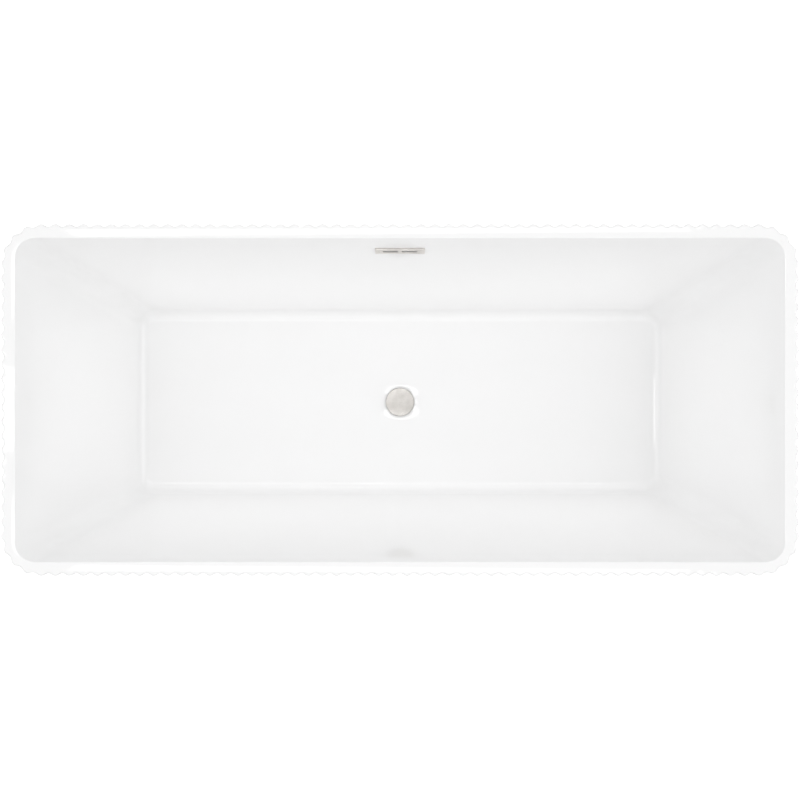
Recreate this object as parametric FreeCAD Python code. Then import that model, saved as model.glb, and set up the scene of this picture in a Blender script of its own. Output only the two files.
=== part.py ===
import FreeCAD, Part
import math
import os
from FreeCAD import Vector

# Freestanding bathtub: a rectangular acrylic tub with a fluted outer skirt, a slotted overflow,
# a click waste, a steel under-frame and five screw feet. Millimetres, +Z up. The origin is on the
# floor under the middle of the tub, +X runs along it and +Y points to the overflow side.

# Overall size, measured over the crests of the flutes
LENGTH = 1700.0
WIDTH = 750.0
HEIGHT = 580.0
CORNER_RADIUS = 85.0

# Fluting round the outside
RIB_PITCH = 30.0
RIB_DEPTH = 5.5

# Rim and basin
RIM_WIDTH = 30.0
RIM_THICKNESS = 6.0
RIM_ROUND = 4.0
RIM_INNER_ROUND = 3.0
BASIN_CORNER = 45.0
LIP_HEIGHT = 20.0
LIP_WALL = 10.0
BASIN_DEPTH = 430.0
FLOOR_LENGTH = 1256.0
FLOOR_WIDTH = 434.0
FLOOR_FILLET = 30.0
FLOOR_FALL = 5.0
FALL_MARGIN = 38.0
FALL_CENTRE = 45.0
ACRYLIC = 5.0
BACKING = 3.0
BACKING_TOP_GAP = 18.0

# Outer skirt
SKIRT_WALL = 10.0
SKIRT_GAP = 6.0
BAND_HEIGHT = 30.0
BAND_WALL = 15.0
TONGUE_HEIGHT = 12.0
TONGUE_CLEARANCE = 0.4
BATTEN_THICKNESS = 20.0
BATTEN_HEIGHT = 40.0
BATTEN_LIFT = 4.0
BATTEN_END_GAP = 60.0

# Base board and steel frame
BOARD_LENGTH = 1200.0
BOARD_WIDTH = 380.0
BOARD_THICKNESS = 15.0
BOARD_CORNER = 40.0
BOARD_HOLE_CLEARANCE = 12.0
TUBE = 30.0
TUBE_WALL = 1.5
RAIL_LENGTH = 1120.0
RAIL_SPACING = 260.0
CROSS_LENGTH = 580.0
CROSS_SPACING = 860.0
MIDDLE_CROSS_X = 150.0
MIDDLE_CROSS_LENGTH = 300.0
CAP_PLATE = 2.0
CAP_PLUG = 6.0
CAP_CLEARANCE = 0.05
BOLT_RADIUS = 4.0
BOLT_HEAD_RADIUS = 6.5
BOLT_HEAD_HEIGHT = 5.0
BOLT_NUT_HEIGHT = 6.5
BOLT_NUT_FLATS = 13.0
BOLT_END = 4.0
BOLT_SOCKET_FLATS = 6.0
BOLT_SOCKET_DEPTH = 3.0
BOARD_SCREW_RADIUS = 2.5
BOARD_SCREW_HEAD = 4.5
BOARD_SCREW_HEAD_HEIGHT = 3.0
BOARD_SCREW_DEPTH = 11.0
BOARD_SCREW_PLACES = (-500.0, -260.0, 260.0, 500.0)
HOLE_CLEARANCE = 0.5

# Screw feet
FOOT_SPACING_Y = 500.0
STUD_RADIUS = 6.0
STUD_ABOVE_NUT = 19.5
THREAD_CLEARANCE = 0.05
WELD_NUT_HEIGHT = 10.0
WELD_NUT_WALL = 3.5
LOCK_NUT_HEIGHT = 6.0
LOCK_NUT_WALL = 3.0
COLLAR_HEIGHT = 8.0
COLLAR_WALL = 2.5
COLLAR_GAP = 0.3
PAD_RADIUS = 25.0
PAD_TOP_RADIUS = 18.0
PAD_HEIGHT = 12.0
PAD_EDGE = 5.0
SOCKET_DEPTH = 8.0
SOCKET_CLEARANCE = 0.1

# Skirt brackets
BRACKET_WIDTH = 30.0
BRACKET_THICKNESS = 3.0
BRACKET_LAP = 24.0
BRACKET_SCREW_RADIUS = 2.5
BRACKET_SCREW_HEAD = 4.5
BRACKET_SCREW_HEAD_HEIGHT = 2.5
BRACKET_SCREW_DEPTH = 12.0
BRACKET_SCREW_RISE = 10.0
BRACKET_SCREW_DROP = 15.0

# Waste
FLANGE_TUBE_RADIUS = 23.9
FLANGE_TUBE_WALL = 3.9
FLANGE_TUBE_LENGTH = 57.5
FLANGE_LAP = 9.1
FLANGE_THICKNESS = 2.5
WASTE_HOLE_CLEARANCE = 2.1
RECESS_CLEARANCE = 1.3
BOSS_MARGIN = 6.0
WASTE_GASKET = 1.0
WASTE_GASKET_CLEARANCE = 0.6
LOWER_GASKET = 4.0
LOWER_GASKET_LAP = 14.1
WASTE_NUT_HEIGHT = 10.0
WASTE_NUT_WALL = 9.1
SPIDER_HUB_WALL = 2.5
SPIDER_DEPTH = 17.0
SPIDER_HEIGHT = 10.0
SPIDER_ARM = 3.0
CARTRIDGE_RADIUS = 9.0
CARTRIDGE_WALL = 2.5
CARTRIDGE_TOP = 11.0
CARTRIDGE_LENGTH = 42.0
CARTRIDGE_END = 2.0
GUIDE_HEIGHT = 3.0
STEM_RADIUS = 4.0
STEM_CLEARANCE = 0.1
STEM_ABOVE_CARTRIDGE = 10.0
PISTON_CLEARANCE = 0.2
PISTON_HEIGHT = 4.0
SPRING_WIRE = 0.5
SPRING_CLEARANCE = 1.0
SPRING_LENGTH = 20.0
SPRING_TURNS = 7
CAP_OVERHANG = 1.0
CAP_THICKNESS = 4.0
CAP_EDGE = 1.0
CAP_BOSS_WALL = 6.0
CAP_BOSS_HEIGHT = 6.0
CAP_BOSS_FLOOR = 1.0
SEAL_LAP = 7.0
SEAL_THICKNESS = 0.8
SEAL_GAP = 0.3

# Waste elbow body and tail
SHOE_WALL = 6.0
SHOE_HEIGHT = 60.0
SHOE_SOCKET_CLEARANCE = 0.1
SHOE_SOCKET_DEPTH = 28.0
SHOE_TUBE_GAP = 1.0
SHOE_FLOOR = 4.0
SPOUT_WALL = 3.9
SPOUT_LENGTH = 16.0
SPOUT_CLEARANCE = 0.1
SIDE_INLET_HEIGHT = 20.0
SIDE_INLET_LENGTH = 30.0
TAIL_RADIUS = 20.0
TAIL_STEP = 0.5
TAIL_WALL = 2.5
TAIL_GAP = 6.0
TAIL_IN_SPOUT = 14.0
TAIL_WASHER = 3.0
TAIL_NUT_WALL = 5.0
TAIL_NUT_FLOOR = 3.0
TAIL_NUT_LAP = 10.0

# Overflow
OVERFLOW_DROP = 62.0
COVER_LENGTH = 108.0
COVER_HEIGHT = 24.0
COVER_DEPTH = 4.0
COVER_WALL = 1.2
COVER_EDGE = 0.8
COVER_GAP = 0.2
SLOT_HEIGHT = 7.0
SLOT_WEB = 8.0
PLATE_THICKNESS = 1.5
FRONT_GASKET = 0.8
BACK_GASKET = 1.5
WINDOW_LENGTH = 80.0
WINDOW_MARGIN = 3.0
WINDOW_HEIGHT = 14.0
OVERFLOW_BODY_DEPTH = 19.0
OVERFLOW_BODY_WALL = 2.5
OVERFLOW_SPIGOT_DEPTH = 21.0
OVERFLOW_SPIGOT_GAP = 2.5
OVERFLOW_SCREW_MARGIN = 6.0
OVERFLOW_SCREW_RADIUS = 1.9
OVERFLOW_SCREW_HEAD = 3.2
OVERFLOW_SCREW_DEPTH = 10.0
SCREW_CLEARANCE = 0.3

# Overflow hose
SPIGOT_RADIUS = 11.5
SPIGOT_WALL = 2.5
HOSE_CLEARANCE = 0.1
HOSE_WALL = 2.9
HOSE_BEND = 150.0
HOSE_LAP = 17.0
CLIP_THICKNESS = 1.0
CLIP_WIDTH = 9.0
CLIP_HOUSING = 7.0
CLIP_SCREW_RADIUS = 2.8

# Radii and lengths that follow from what fits in or on each piece
FLANGE_RADIUS = FLANGE_TUBE_RADIUS + FLANGE_LAP
WASTE_BORE = FLANGE_TUBE_RADIUS - FLANGE_TUBE_WALL
WASTE_HOLE = FLANGE_TUBE_RADIUS + WASTE_HOLE_CLEARANCE
WASTE_GASKET_BORE = FLANGE_TUBE_RADIUS + WASTE_GASKET_CLEARANCE
LOWER_GASKET_RADIUS = FLANGE_TUBE_RADIUS + LOWER_GASKET_LAP
BOARD_HOLE = LOWER_GASKET_RADIUS + BOARD_HOLE_CLEARANCE
SPIDER_HUB_RADIUS = CARTRIDGE_RADIUS + SPIDER_HUB_WALL
CARTRIDGE_BORE = CARTRIDGE_RADIUS - CARTRIDGE_WALL
SPRING_RADIUS = CARTRIDGE_BORE - SPRING_CLEARANCE - SPRING_WIRE
CAP_RADIUS = FLANGE_RADIUS + CAP_OVERHANG
CAP_BOSS_RADIUS = STEM_RADIUS + CAP_BOSS_WALL
SEAL_RADIUS = WASTE_BORE + SEAL_LAP
SHOE_SOCKET_RADIUS = FLANGE_TUBE_RADIUS + SHOE_SOCKET_CLEARANCE
SHOE_RADIUS = SHOE_SOCKET_RADIUS + SHOE_WALL
SIDE_INLET_END = SHOE_RADIUS + SIDE_INLET_LENGTH
SPOUT_BORE = TAIL_RADIUS + SPOUT_CLEARANCE
SPOUT_RADIUS = SPOUT_BORE + SPOUT_WALL
TAIL_UPPER_RADIUS = TAIL_RADIUS - TAIL_STEP
TAIL_BORE = TAIL_RADIUS - TAIL_WALL
TAIL_NUT_RADIUS = SPOUT_RADIUS + TAIL_NUT_WALL
SPIGOT_BORE = SPIGOT_RADIUS - SPIGOT_WALL
SLOT_LENGTH = WINDOW_LENGTH - 2 * WINDOW_MARGIN
OVERFLOW_SCREW_SPACING = WINDOW_LENGTH + 2 * OVERFLOW_SCREW_MARGIN

# Heights that follow, from the floor of the basin down to the frame
FLOOR_Z = HEIGHT - BASIN_DEPTH
DRAIN_Z = FLOOR_Z - FLOOR_FALL
RECESS_Z = DRAIN_Z - FLANGE_THICKNESS - WASTE_GASKET
BOSS_Z = RECESS_Z - ACRYLIC
BOARD_TOP = BOSS_Z - BACKING
BOARD_BOTTOM = BOARD_TOP - BOARD_THICKNESS
RAIL_BOTTOM = BOARD_BOTTOM - TUBE
CROSS_BOTTOM = RAIL_BOTTOM - TUBE
LIP_Z = HEIGHT - LIP_HEIGHT

# Slopes of the basin's sides: horizontal run for each millimetre of height
OPENING_LENGTH = LENGTH - 2 * RIM_WIDTH
OPENING_WIDTH = WIDTH - 2 * RIM_WIDTH
END_SLOPE = (OPENING_LENGTH - FLOOR_LENGTH) / 2 / BASIN_DEPTH
SIDE_SLOPE = (OPENING_WIDTH - FLOOR_WIDTH) / 2 / BASIN_DEPTH

# Where pieces stand
FOOT_PLACES = {
    "front_left": (-CROSS_SPACING / 2, -FOOT_SPACING_Y / 2),
    "front_right": (CROSS_SPACING / 2, -FOOT_SPACING_Y / 2),
    "back_left": (-CROSS_SPACING / 2, FOOT_SPACING_Y / 2),
    "back_right": (CROSS_SPACING / 2, FOOT_SPACING_Y / 2),
    "middle": (MIDDLE_CROSS_X, 0.0),
}
CROSS_MEMBERS = {
    "left": (-CROSS_SPACING / 2, CROSS_LENGTH),
    "right": (CROSS_SPACING / 2, CROSS_LENGTH),
    "middle": (MIDDLE_CROSS_X, MIDDLE_CROSS_LENGTH),
}
CROSSINGS = [(x, side * RAIL_SPACING / 2) for x, _ in CROSS_MEMBERS.values() for side in (-1, 1)]
BRACKET_PLACES = {
    "front_left": (-CROSS_SPACING / 2, -1),
    "front_right": (CROSS_SPACING / 2, -1),
    "back_left": (-CROSS_SPACING / 2, 1),
    "back_right": (CROSS_SPACING / 2, 1),
}
BATTEN_Z = SKIRT_GAP + BATTEN_LIFT
BATTEN_FACE_Y = WIDTH / 2 - SKIRT_WALL - BATTEN_THICKNESS
BRACKET_SCREW_Z = BATTEN_Z + BATTEN_HEIGHT - BRACKET_SCREW_DROP
BRACKET_SCREW_Y = CROSS_LENGTH / 2 - BRACKET_LAP / 2

# Where the waste's pieces stand
SPIDER_TOP = DRAIN_Z - SPIDER_DEPTH
CARTRIDGE_Z = DRAIN_Z - CARTRIDGE_TOP
SPRING_Z = CARTRIDGE_Z - CARTRIDGE_LENGTH + CARTRIDGE_END
PISTON_Z = SPRING_Z + SPRING_LENGTH
CAP_Z = DRAIN_Z + SEAL_GAP + SEAL_THICKNESS
TUBE_END_Z = DRAIN_Z - FLANGE_THICKNESS - FLANGE_TUBE_LENGTH
SHOE_TOP = TUBE_END_Z - SHOE_TUBE_GAP + SHOE_SOCKET_DEPTH
SHOE_BOTTOM = SHOE_TOP - SHOE_HEIGHT
SPOUT_Z = SHOE_BOTTOM - SPOUT_LENGTH
SIDE_INLET_Z = SHOE_BOTTOM + SIDE_INLET_HEIGHT

# Where the overflow stands: its own frame has X along the wall, Z up the wall and Y out through it
OVERFLOW_Z = HEIGHT - OVERFLOW_DROP
OVERFLOW_Y = FLOOR_WIDTH / 2 + (OVERFLOW_Z - FLOOR_Z) * SIDE_SLOPE
WALL_ANGLE = math.degrees(math.atan(SIDE_SLOPE))
OVERFLOW_FRAME = FreeCAD.Placement(
    Vector(0, OVERFLOW_Y, OVERFLOW_Z), FreeCAD.Rotation(Vector(1, 0, 0), -WALL_ANGLE)
)
WALL_OUTSIDE = ACRYLIC + BACKING
BODY_FRONT = WALL_OUTSIDE + BACK_GASKET
SPIGOT_TOP = OVERFLOW_FRAME.multVec(Vector(0, BODY_FRONT + OVERFLOW_BODY_DEPTH / 2, 0))
SPIGOT_Y = OVERFLOW_Y + OVERFLOW_SPIGOT_DEPTH
BODY_LOW = OVERFLOW_FRAME.multVec(Vector(0, BODY_FRONT + OVERFLOW_BODY_DEPTH, -COVER_HEIGHT / 2))
SPIGOT_END_Z = BODY_LOW.z - OVERFLOW_SPIGOT_GAP - HOSE_LAP
HOSE_BORE = SPIGOT_RADIUS + HOSE_CLEARANCE
HOSE_RADIUS = HOSE_BORE + HOSE_WALL
HOSE_START_Y = SIDE_INLET_END - HOSE_LAP
HOSE_END_Z = SPIGOT_END_Z + HOSE_LAP


def box(x0, x1, y0, y1, z0, z1):
    """Block between two corners."""
    return Part.makeBox(x1 - x0, y1 - y0, z1 - z0, Vector(x0, y0, z0))


def disc(radius, z0, z1, x=0.0, y=0.0):
    """Upright cylinder from z0 to z1."""
    return Part.makeCylinder(radius, z1 - z0, Vector(x, y, z0))


def tube(radius, bore, z0, z1, x=0.0, y=0.0):
    """Upright ring from z0 to z1."""
    return disc(radius, z0, z1, x, y).cut(disc(bore, z0, z1, x, y))


def hexagon(flats, z0, z1, x=0.0, y=0.0):
    """Upright hexagonal prism with the given width across its flats."""
    radius = flats / math.sqrt(3)
    turns = [math.radians(60 * step) for step in range(7)]
    corners = [Vector(x + radius * math.cos(a), y + radius * math.sin(a), z0) for a in turns]
    return Part.Face(Part.makePolygon(corners)).extrude(Vector(0, 0, z1 - z0))


def fuse_all(shapes):
    """One solid from several that meet."""
    return shapes[0].multiFuse(shapes[1:]).removeSplitter()


def cut_all(shape, tools):
    """A shape with several others taken out of it."""
    return shape.cut(list(tools))


def save(name, *solids):
    """Writes one node as parts/NAME.step."""
    shape = solids[0] if len(solids) == 1 else Part.makeCompound(list(solids))
    shape.exportStep(os.path.join("parts", name + ".step"))


def rounded_outline(half_x, half_y, radius, z):
    """Closed wire: a rectangle with round corners, anticlockwise from the right-hand side."""
    edges = []
    for quarter in range(4):
        turn = math.radians(90 * quarter)
        along, out = ((half_y, half_x), (half_x, half_y))[quarter % 2]
        x_axis = Vector(math.cos(turn), math.sin(turn), 0)
        y_axis = Vector(-math.sin(turn), math.cos(turn), 0)
        straight = along - radius
        centre = x_axis * (out - radius) + y_axis * straight + Vector(0, 0, z)
        first = x_axis * out - y_axis * straight + Vector(0, 0, z)
        last = x_axis * out + y_axis * straight + Vector(0, 0, z)
        half_turn = (x_axis + y_axis) * (radius / math.sqrt(2))
        edges.append(Part.LineSegment(first, last).toShape())
        edges.append(Part.Arc(last, centre + half_turn, centre + y_axis * radius).toShape())
    return Part.Wire(edges)


def rounded_block(half_x, half_y, radius, z0, z1):
    """Upright block with round corners in plan."""
    return Part.Face(rounded_outline(half_x, half_y, radius, z0)).extrude(Vector(0, 0, z1 - z0))


def frustum(low_x, low_y, z0, high_x, high_y, z1):
    """Upright block with sloping flat sides, from its half-sizes at z0 and at z1."""
    wedge = Part.makeWedge(-low_x, z0, -low_y, -high_y, -high_x, low_x, z1, low_y, high_y, high_x)
    wedge.rotate(Vector(0, 0, 0), Vector(1, 0, 0), 90)
    return wedge


def plan_block(inset, z0, z1):
    """Block with the tub's plan outline, set in from the crests of the flutes."""
    return rounded_block(LENGTH / 2 - inset, WIDTH / 2 - inset, CORNER_RADIUS - inset, z0, z1)


def fluted_block(z0, z1):
    """Block with the tub's plan outline and flutes all round, a whole number on each side."""
    half_x = LENGTH / 2 - CORNER_RADIUS
    half_y = WIDTH / 2 - CORNER_RADIUS
    path_radius = CORNER_RADIUS - RIB_DEPTH / 2
    swing = (RIB_DEPTH / 2, 0.0, -RIB_DEPTH / 2, 0.0)
    corner_quarters = 4 * round(path_radius * math.pi / 2 / RIB_PITCH)
    points = []
    for quarter in range(4):
        turn = math.radians(90 * quarter)
        along, out = ((half_y, half_x), (half_x, half_y))[quarter % 2]
        x_axis = Vector(math.cos(turn), math.sin(turn), 0)
        y_axis = Vector(-math.sin(turn), math.cos(turn), 0)
        side_quarters = 4 * round(2 * along / RIB_PITCH)
        for step in range(side_quarters):
            reach = out + path_radius + swing[step % 4]
            place = along * (2 * step / side_quarters - 1)
            points.append(x_axis * reach + y_axis * place)
        for step in range(corner_quarters):
            angle = math.pi / 2 * step / corner_quarters
            spoke = x_axis * math.cos(angle) + y_axis * math.sin(angle)
            points.append(x_axis * out + y_axis * along + spoke * (path_radius + swing[step % 4]))
    points = [point + Vector(0, 0, z0) for point in points]
    following = points[1:] + points[:1]
    arcs = [
        Part.Arc(points[i - 1], points[i], following[i]).toShape() for i in range(0, len(points), 2)
    ]
    return Part.Face(Part.Wire(arcs)).extrude(Vector(0, 0, z1 - z0))


def edges_at(shape, z):
    """The edges of a shape that lie flat at one height."""
    return [
        edge
        for edge in shape.Edges
        if abs(edge.BoundBox.ZMin - z) < 0.01 and abs(edge.BoundBox.ZMax - z) < 0.01
    ]


def basin_form(offset, bottom, top, fillet):
    """Solid with the basin's sloping sides, grown outwards by offset, with a round bottom edge."""
    end_offset = offset * math.hypot(1, END_SLOPE)
    side_offset = offset * math.hypot(1, SIDE_SLOPE)

    def half_sizes(z):
        half_x = FLOOR_LENGTH / 2 + (z - FLOOR_Z) * END_SLOPE + end_offset
        half_y = FLOOR_WIDTH / 2 + (z - FLOOR_Z) * SIDE_SLOPE + side_offset
        return half_x, half_y

    form = frustum(*half_sizes(bottom), bottom, *half_sizes(top), top)
    corners = [edge for edge in form.Edges if edge.BoundBox.ZLength > (top - bottom) / 2]
    form = form.makeFillet(BASIN_CORNER + offset, corners)
    return form.makeFillet(fillet, edges_at(form, bottom))


def floor_fall(top):
    """Shallow hopper that leads the floor down to the waste, from top."""
    half_x = FLOOR_LENGTH / 2 - FALL_MARGIN
    half_y = FLOOR_WIDTH / 2 - FALL_MARGIN
    return frustum(FALL_CENTRE, FALL_CENTRE, top - FLOOR_FALL, half_x, half_y, top)


def basin_outside():
    """Outside of the acrylic basin below its rim, with its fall and the boss round the waste."""
    form = basin_form(ACRYLIC, FLOOR_Z - ACRYLIC, HEIGHT - RIM_THICKNESS / 2, FLOOR_FILLET + ACRYLIC)
    boss_radius = FLANGE_RADIUS + RECESS_CLEARANCE + BOSS_MARGIN
    boss = disc(boss_radius, BOSS_Z, FLOOR_Z - ACRYLIC / 2)
    return fuse_all([form, floor_fall(FLOOR_Z - ACRYLIC), boss])


def overflow_opening():
    """What the overflow takes out of the basin's wall: a window and two screw holes."""
    reach = 2 * WALL_OUTSIDE
    window = rounded_block(WINDOW_LENGTH / 2, WINDOW_HEIGHT / 2, 2.0, -reach, reach)
    window.rotate(Vector(0, 0, 0), Vector(1, 0, 0), 90)
    tools = [window]
    for side in (-1, 1):
        place = Vector(side * OVERFLOW_SCREW_SPACING / 2, -reach, 0)
        radius = OVERFLOW_SCREW_RADIUS + SCREW_CLEARANCE
        tools.append(Part.makeCylinder(radius, 2 * reach, place, Vector(0, 1, 0)))
    return [on_wall(tool) for tool in tools]


def basin_shell():
    """Acrylic basin with its fluted rim, one moulding."""
    rim = fluted_block(LIP_Z, HEIGHT)
    rim = rim.makeFillet(RIM_ROUND, edges_at(rim, HEIGHT))
    rim = rim.cut(plan_block(LIP_WALL, LIP_Z, HEIGHT - RIM_THICKNESS))
    cavity = basin_form(0.0, FLOOR_Z, HEIGHT, FLOOR_FILLET)
    cavity = fuse_all([cavity, floor_fall(FLOOR_Z)])
    shell = rim.fuse(basin_outside()).cut(cavity)
    mouth = [
        edge
        for edge in edges_at(shell, HEIGHT)
        if abs(edge.BoundBox.XMin) < OPENING_LENGTH / 2 + 1
        and abs(edge.BoundBox.XMax) < OPENING_LENGTH / 2 + 1
        and abs(edge.BoundBox.YMin) < OPENING_WIDTH / 2 + 1
        and abs(edge.BoundBox.YMax) < OPENING_WIDTH / 2 + 1
    ]
    shell = shell.makeFillet(RIM_INNER_ROUND, mouth)
    recess = disc(FLANGE_RADIUS + RECESS_CLEARANCE, RECESS_Z, FLOOR_Z)
    hole = disc(WASTE_HOLE, BOSS_Z - 1, FLOOR_Z)
    return cut_all(shell, [recess, hole] + overflow_opening())


def basin_backing():
    """Glass-fibre laminate that stiffens the outside of the basin and is flat underneath."""
    top = HEIGHT - RIM_THICKNESS - BACKING_TOP_GAP
    outside = basin_form(ACRYLIC + BACKING, BOARD_TOP, top, FLOOR_FILLET)
    hole = disc(WASTE_HOLE, BOARD_TOP - 1, FLOOR_Z)
    return cut_all(outside.cut(basin_outside()), [hole] + overflow_opening())


def outer_skirt():
    """Fluted skirt, open underneath, with a thick top band whose tongue fits inside the lip."""
    band_z = LIP_Z - BAND_HEIGHT
    hollow = plan_block(SKIRT_WALL, SKIRT_GAP, band_z)
    neck = plan_block(BAND_WALL, band_z, LIP_Z)
    skirt = fluted_block(SKIRT_GAP, LIP_Z).cut(hollow.fuse(neck))
    tongue = plan_block(LIP_WALL + TONGUE_CLEARANCE, LIP_Z, LIP_Z + TONGUE_HEIGHT)
    tongue = tongue.cut(plan_block(BAND_WALL, LIP_Z, LIP_Z + TONGUE_HEIGHT))
    return skirt.fuse(tongue)


def skirt_battens():
    """Wood strips glued round the inside of the skirt's lower edge."""
    top = BATTEN_Z + BATTEN_HEIGHT
    straight_x = LENGTH / 2 - CORNER_RADIUS - BATTEN_END_GAP
    straight_y = WIDTH / 2 - CORNER_RADIUS - BATTEN_END_GAP
    inner_x = LENGTH / 2 - SKIRT_WALL
    inner_y = WIDTH / 2 - SKIRT_WALL
    long_strip = box(-straight_x, straight_x, inner_y - BATTEN_THICKNESS, inner_y, BATTEN_Z, top)
    short_strip = box(inner_x - BATTEN_THICKNESS, inner_x, -straight_y, straight_y, BATTEN_Z, top)
    for x, side in BRACKET_PLACES.values():
        if side > 0:
            long_strip = long_strip.cut(bracket_side_screw_hole(x, side))
    half_turn = FreeCAD.Rotation(Vector(0, 0, 1), 180)
    strips = {"back": long_strip, "right": short_strip}
    for name, source in (("front", long_strip), ("left", short_strip)):
        strips[name] = source.copy()
        strips[name].Placement = FreeCAD.Placement(Vector(0, 0, 0), half_turn)
    return strips


def base_board():
    """Plywood board under the basin, with a clear hole round the waste."""
    board = rounded_block(BOARD_LENGTH / 2, BOARD_WIDTH / 2, BOARD_CORNER, BOARD_BOTTOM, BOARD_TOP)
    holes = [disc(BOARD_HOLE, BOARD_BOTTOM, BOARD_TOP)]
    for x, y in board_screw_places():
        radius = BOARD_SCREW_RADIUS + THREAD_CLEARANCE
        holes.append(disc(radius, BOARD_BOTTOM, BOARD_BOTTOM + BOARD_SCREW_DEPTH + 1, x, y))
    return cut_all(board, holes)


def board_screw_places():
    """Plan places of the screws that hold the board down on the rails."""
    return [(x, side * RAIL_SPACING / 2) for x in BOARD_SCREW_PLACES for side in (-1, 1)]


def square_tube(length, direction):
    """Square steel tube along X or Y, centred, with its underside at z = 0."""
    outer, inner = TUBE / 2, TUBE / 2 - TUBE_WALL
    if direction == "x":
        solid = box(-length / 2, length / 2, -outer, outer, 0, TUBE)
        hollow = box(-length / 2, length / 2, -inner, inner, TUBE_WALL, TUBE - TUBE_WALL)
    else:
        solid = box(-outer, outer, -length / 2, length / 2, 0, TUBE)
        hollow = box(-inner, inner, -length / 2, length / 2, TUBE_WALL, TUBE - TUBE_WALL)
    return solid.cut(hollow)


def frame_rail(side):
    """Long rail of the frame, with holes for the crossing bolts and the board screws."""
    rail = square_tube(RAIL_LENGTH, "x")
    rail.translate(Vector(0, side * RAIL_SPACING / 2, RAIL_BOTTOM))
    holes = []
    for x, y in CROSSINGS:
        holes.append(disc(BOLT_RADIUS + HOLE_CLEARANCE, RAIL_BOTTOM, RAIL_BOTTOM + TUBE / 2, x, y))
    for x, y in board_screw_places():
        access = BOARD_SCREW_HEAD + HOLE_CLEARANCE
        holes.append(disc(access, RAIL_BOTTOM, RAIL_BOTTOM + TUBE / 2, x, y))
        through = BOARD_SCREW_RADIUS + THREAD_CLEARANCE
        holes.append(disc(through, RAIL_BOTTOM + TUBE / 2, BOARD_BOTTOM, x, y))
    return cut_all(rail, holes)


def frame_cross(x, length):
    """Cross member of the frame, with holes for its bolts, its feet and its bracket screws."""
    member = square_tube(length, "y")
    member.translate(Vector(x, 0, CROSS_BOTTOM))
    top = CROSS_BOTTOM + TUBE
    holes = []
    for place in CROSSINGS:
        holes.append(disc(BOLT_RADIUS + HOLE_CLEARANCE, CROSS_BOTTOM, top, *place))
    for place in FOOT_PLACES.values():
        holes.append(disc(STUD_RADIUS + HOLE_CLEARANCE, CROSS_BOTTOM, top, *place))
    for bracket_x, side in BRACKET_PLACES.values():
        radius = BRACKET_SCREW_RADIUS + THREAD_CLEARANCE
        middle = CROSS_BOTTOM + TUBE / 2
        holes.append(disc(radius, CROSS_BOTTOM, middle, bracket_x, side * BRACKET_SCREW_Y))
    return cut_all(member, holes)


def end_cap():
    """Plastic cap for a square tube: a plate at x = 0 outwards and a plug inwards."""
    half, plug = TUBE / 2, TUBE / 2 - TUBE_WALL - CAP_CLEARANCE
    plate = box(0, CAP_PLATE, -half, half, -half, half)
    inside = box(-CAP_PLUG, 0, -plug, plug, -plug, plug)
    return fuse_all([plate, inside])


def frame_end_caps():
    """A cap on every open tube end."""
    ends = []
    for side in (-1, 1):
        for end in (-1, 1):
            place = Vector(end * RAIL_LENGTH / 2, side * RAIL_SPACING / 2, RAIL_BOTTOM + TUBE / 2)
            ends.append((place, 0 if end > 0 else 180))
    for x, length in CROSS_MEMBERS.values():
        for end in (-1, 1):
            ends.append((Vector(x, end * length / 2, CROSS_BOTTOM + TUBE / 2), 90 * end))
    caps = []
    for place, turn in ends:
        cap = end_cap()
        cap.Placement = FreeCAD.Placement(place, FreeCAD.Rotation(Vector(0, 0, 1), turn))
        caps.append(cap)
    return caps


def frame_bolt(x, y):
    """Bolt from below that holds a cross member up against a rail."""
    head = disc(BOLT_HEAD_RADIUS, CROSS_BOTTOM - BOLT_HEAD_HEIGHT, CROSS_BOTTOM, x, y)
    shank_top = RAIL_BOTTOM + TUBE_WALL + BOLT_NUT_HEIGHT + BOLT_END
    bottom = CROSS_BOTTOM - BOLT_HEAD_HEIGHT
    socket = hexagon(BOLT_SOCKET_FLATS, bottom, bottom + BOLT_SOCKET_DEPTH, x, y)
    return fuse_all([head, disc(BOLT_RADIUS, CROSS_BOTTOM, shank_top, x, y)]).cut(socket)


def frame_nut(x, y):
    """Nut for a frame bolt, inside the rail."""
    bottom = RAIL_BOTTOM + TUBE_WALL
    nut = hexagon(BOLT_NUT_FLATS, bottom, bottom + BOLT_NUT_HEIGHT, x, y)
    bore = BOLT_RADIUS + THREAD_CLEARANCE
    return nut.cut(disc(bore, bottom, bottom + BOLT_NUT_HEIGHT, x, y))


def board_screw(x, y):
    """Wood screw from inside a rail up into the board."""
    seat = BOARD_BOTTOM - TUBE_WALL
    head = disc(BOARD_SCREW_HEAD, seat - BOARD_SCREW_HEAD_HEIGHT, seat, x, y)
    shank = disc(BOARD_SCREW_RADIUS, seat, BOARD_BOTTOM + BOARD_SCREW_DEPTH, x, y)
    return fuse_all([head, shank])


def weld_nut(x, y):
    """Nut welded under a cross member, which a foot screws through."""
    bottom = CROSS_BOTTOM - WELD_NUT_HEIGHT
    nut = hexagon(2 * (STUD_RADIUS + WELD_NUT_WALL), bottom, CROSS_BOTTOM, x, y)
    return nut.cut(disc(STUD_RADIUS + THREAD_CLEARANCE, bottom, CROSS_BOTTOM, x, y))


def foot_locknut(x, y):
    """Nut that locks a foot's stud under the weld nut."""
    top = CROSS_BOTTOM - WELD_NUT_HEIGHT
    nut = hexagon(2 * (STUD_RADIUS + LOCK_NUT_WALL), top - LOCK_NUT_HEIGHT, top, x, y)
    return nut.cut(disc(STUD_RADIUS + THREAD_CLEARANCE, top - LOCK_NUT_HEIGHT, top, x, y))


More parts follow.
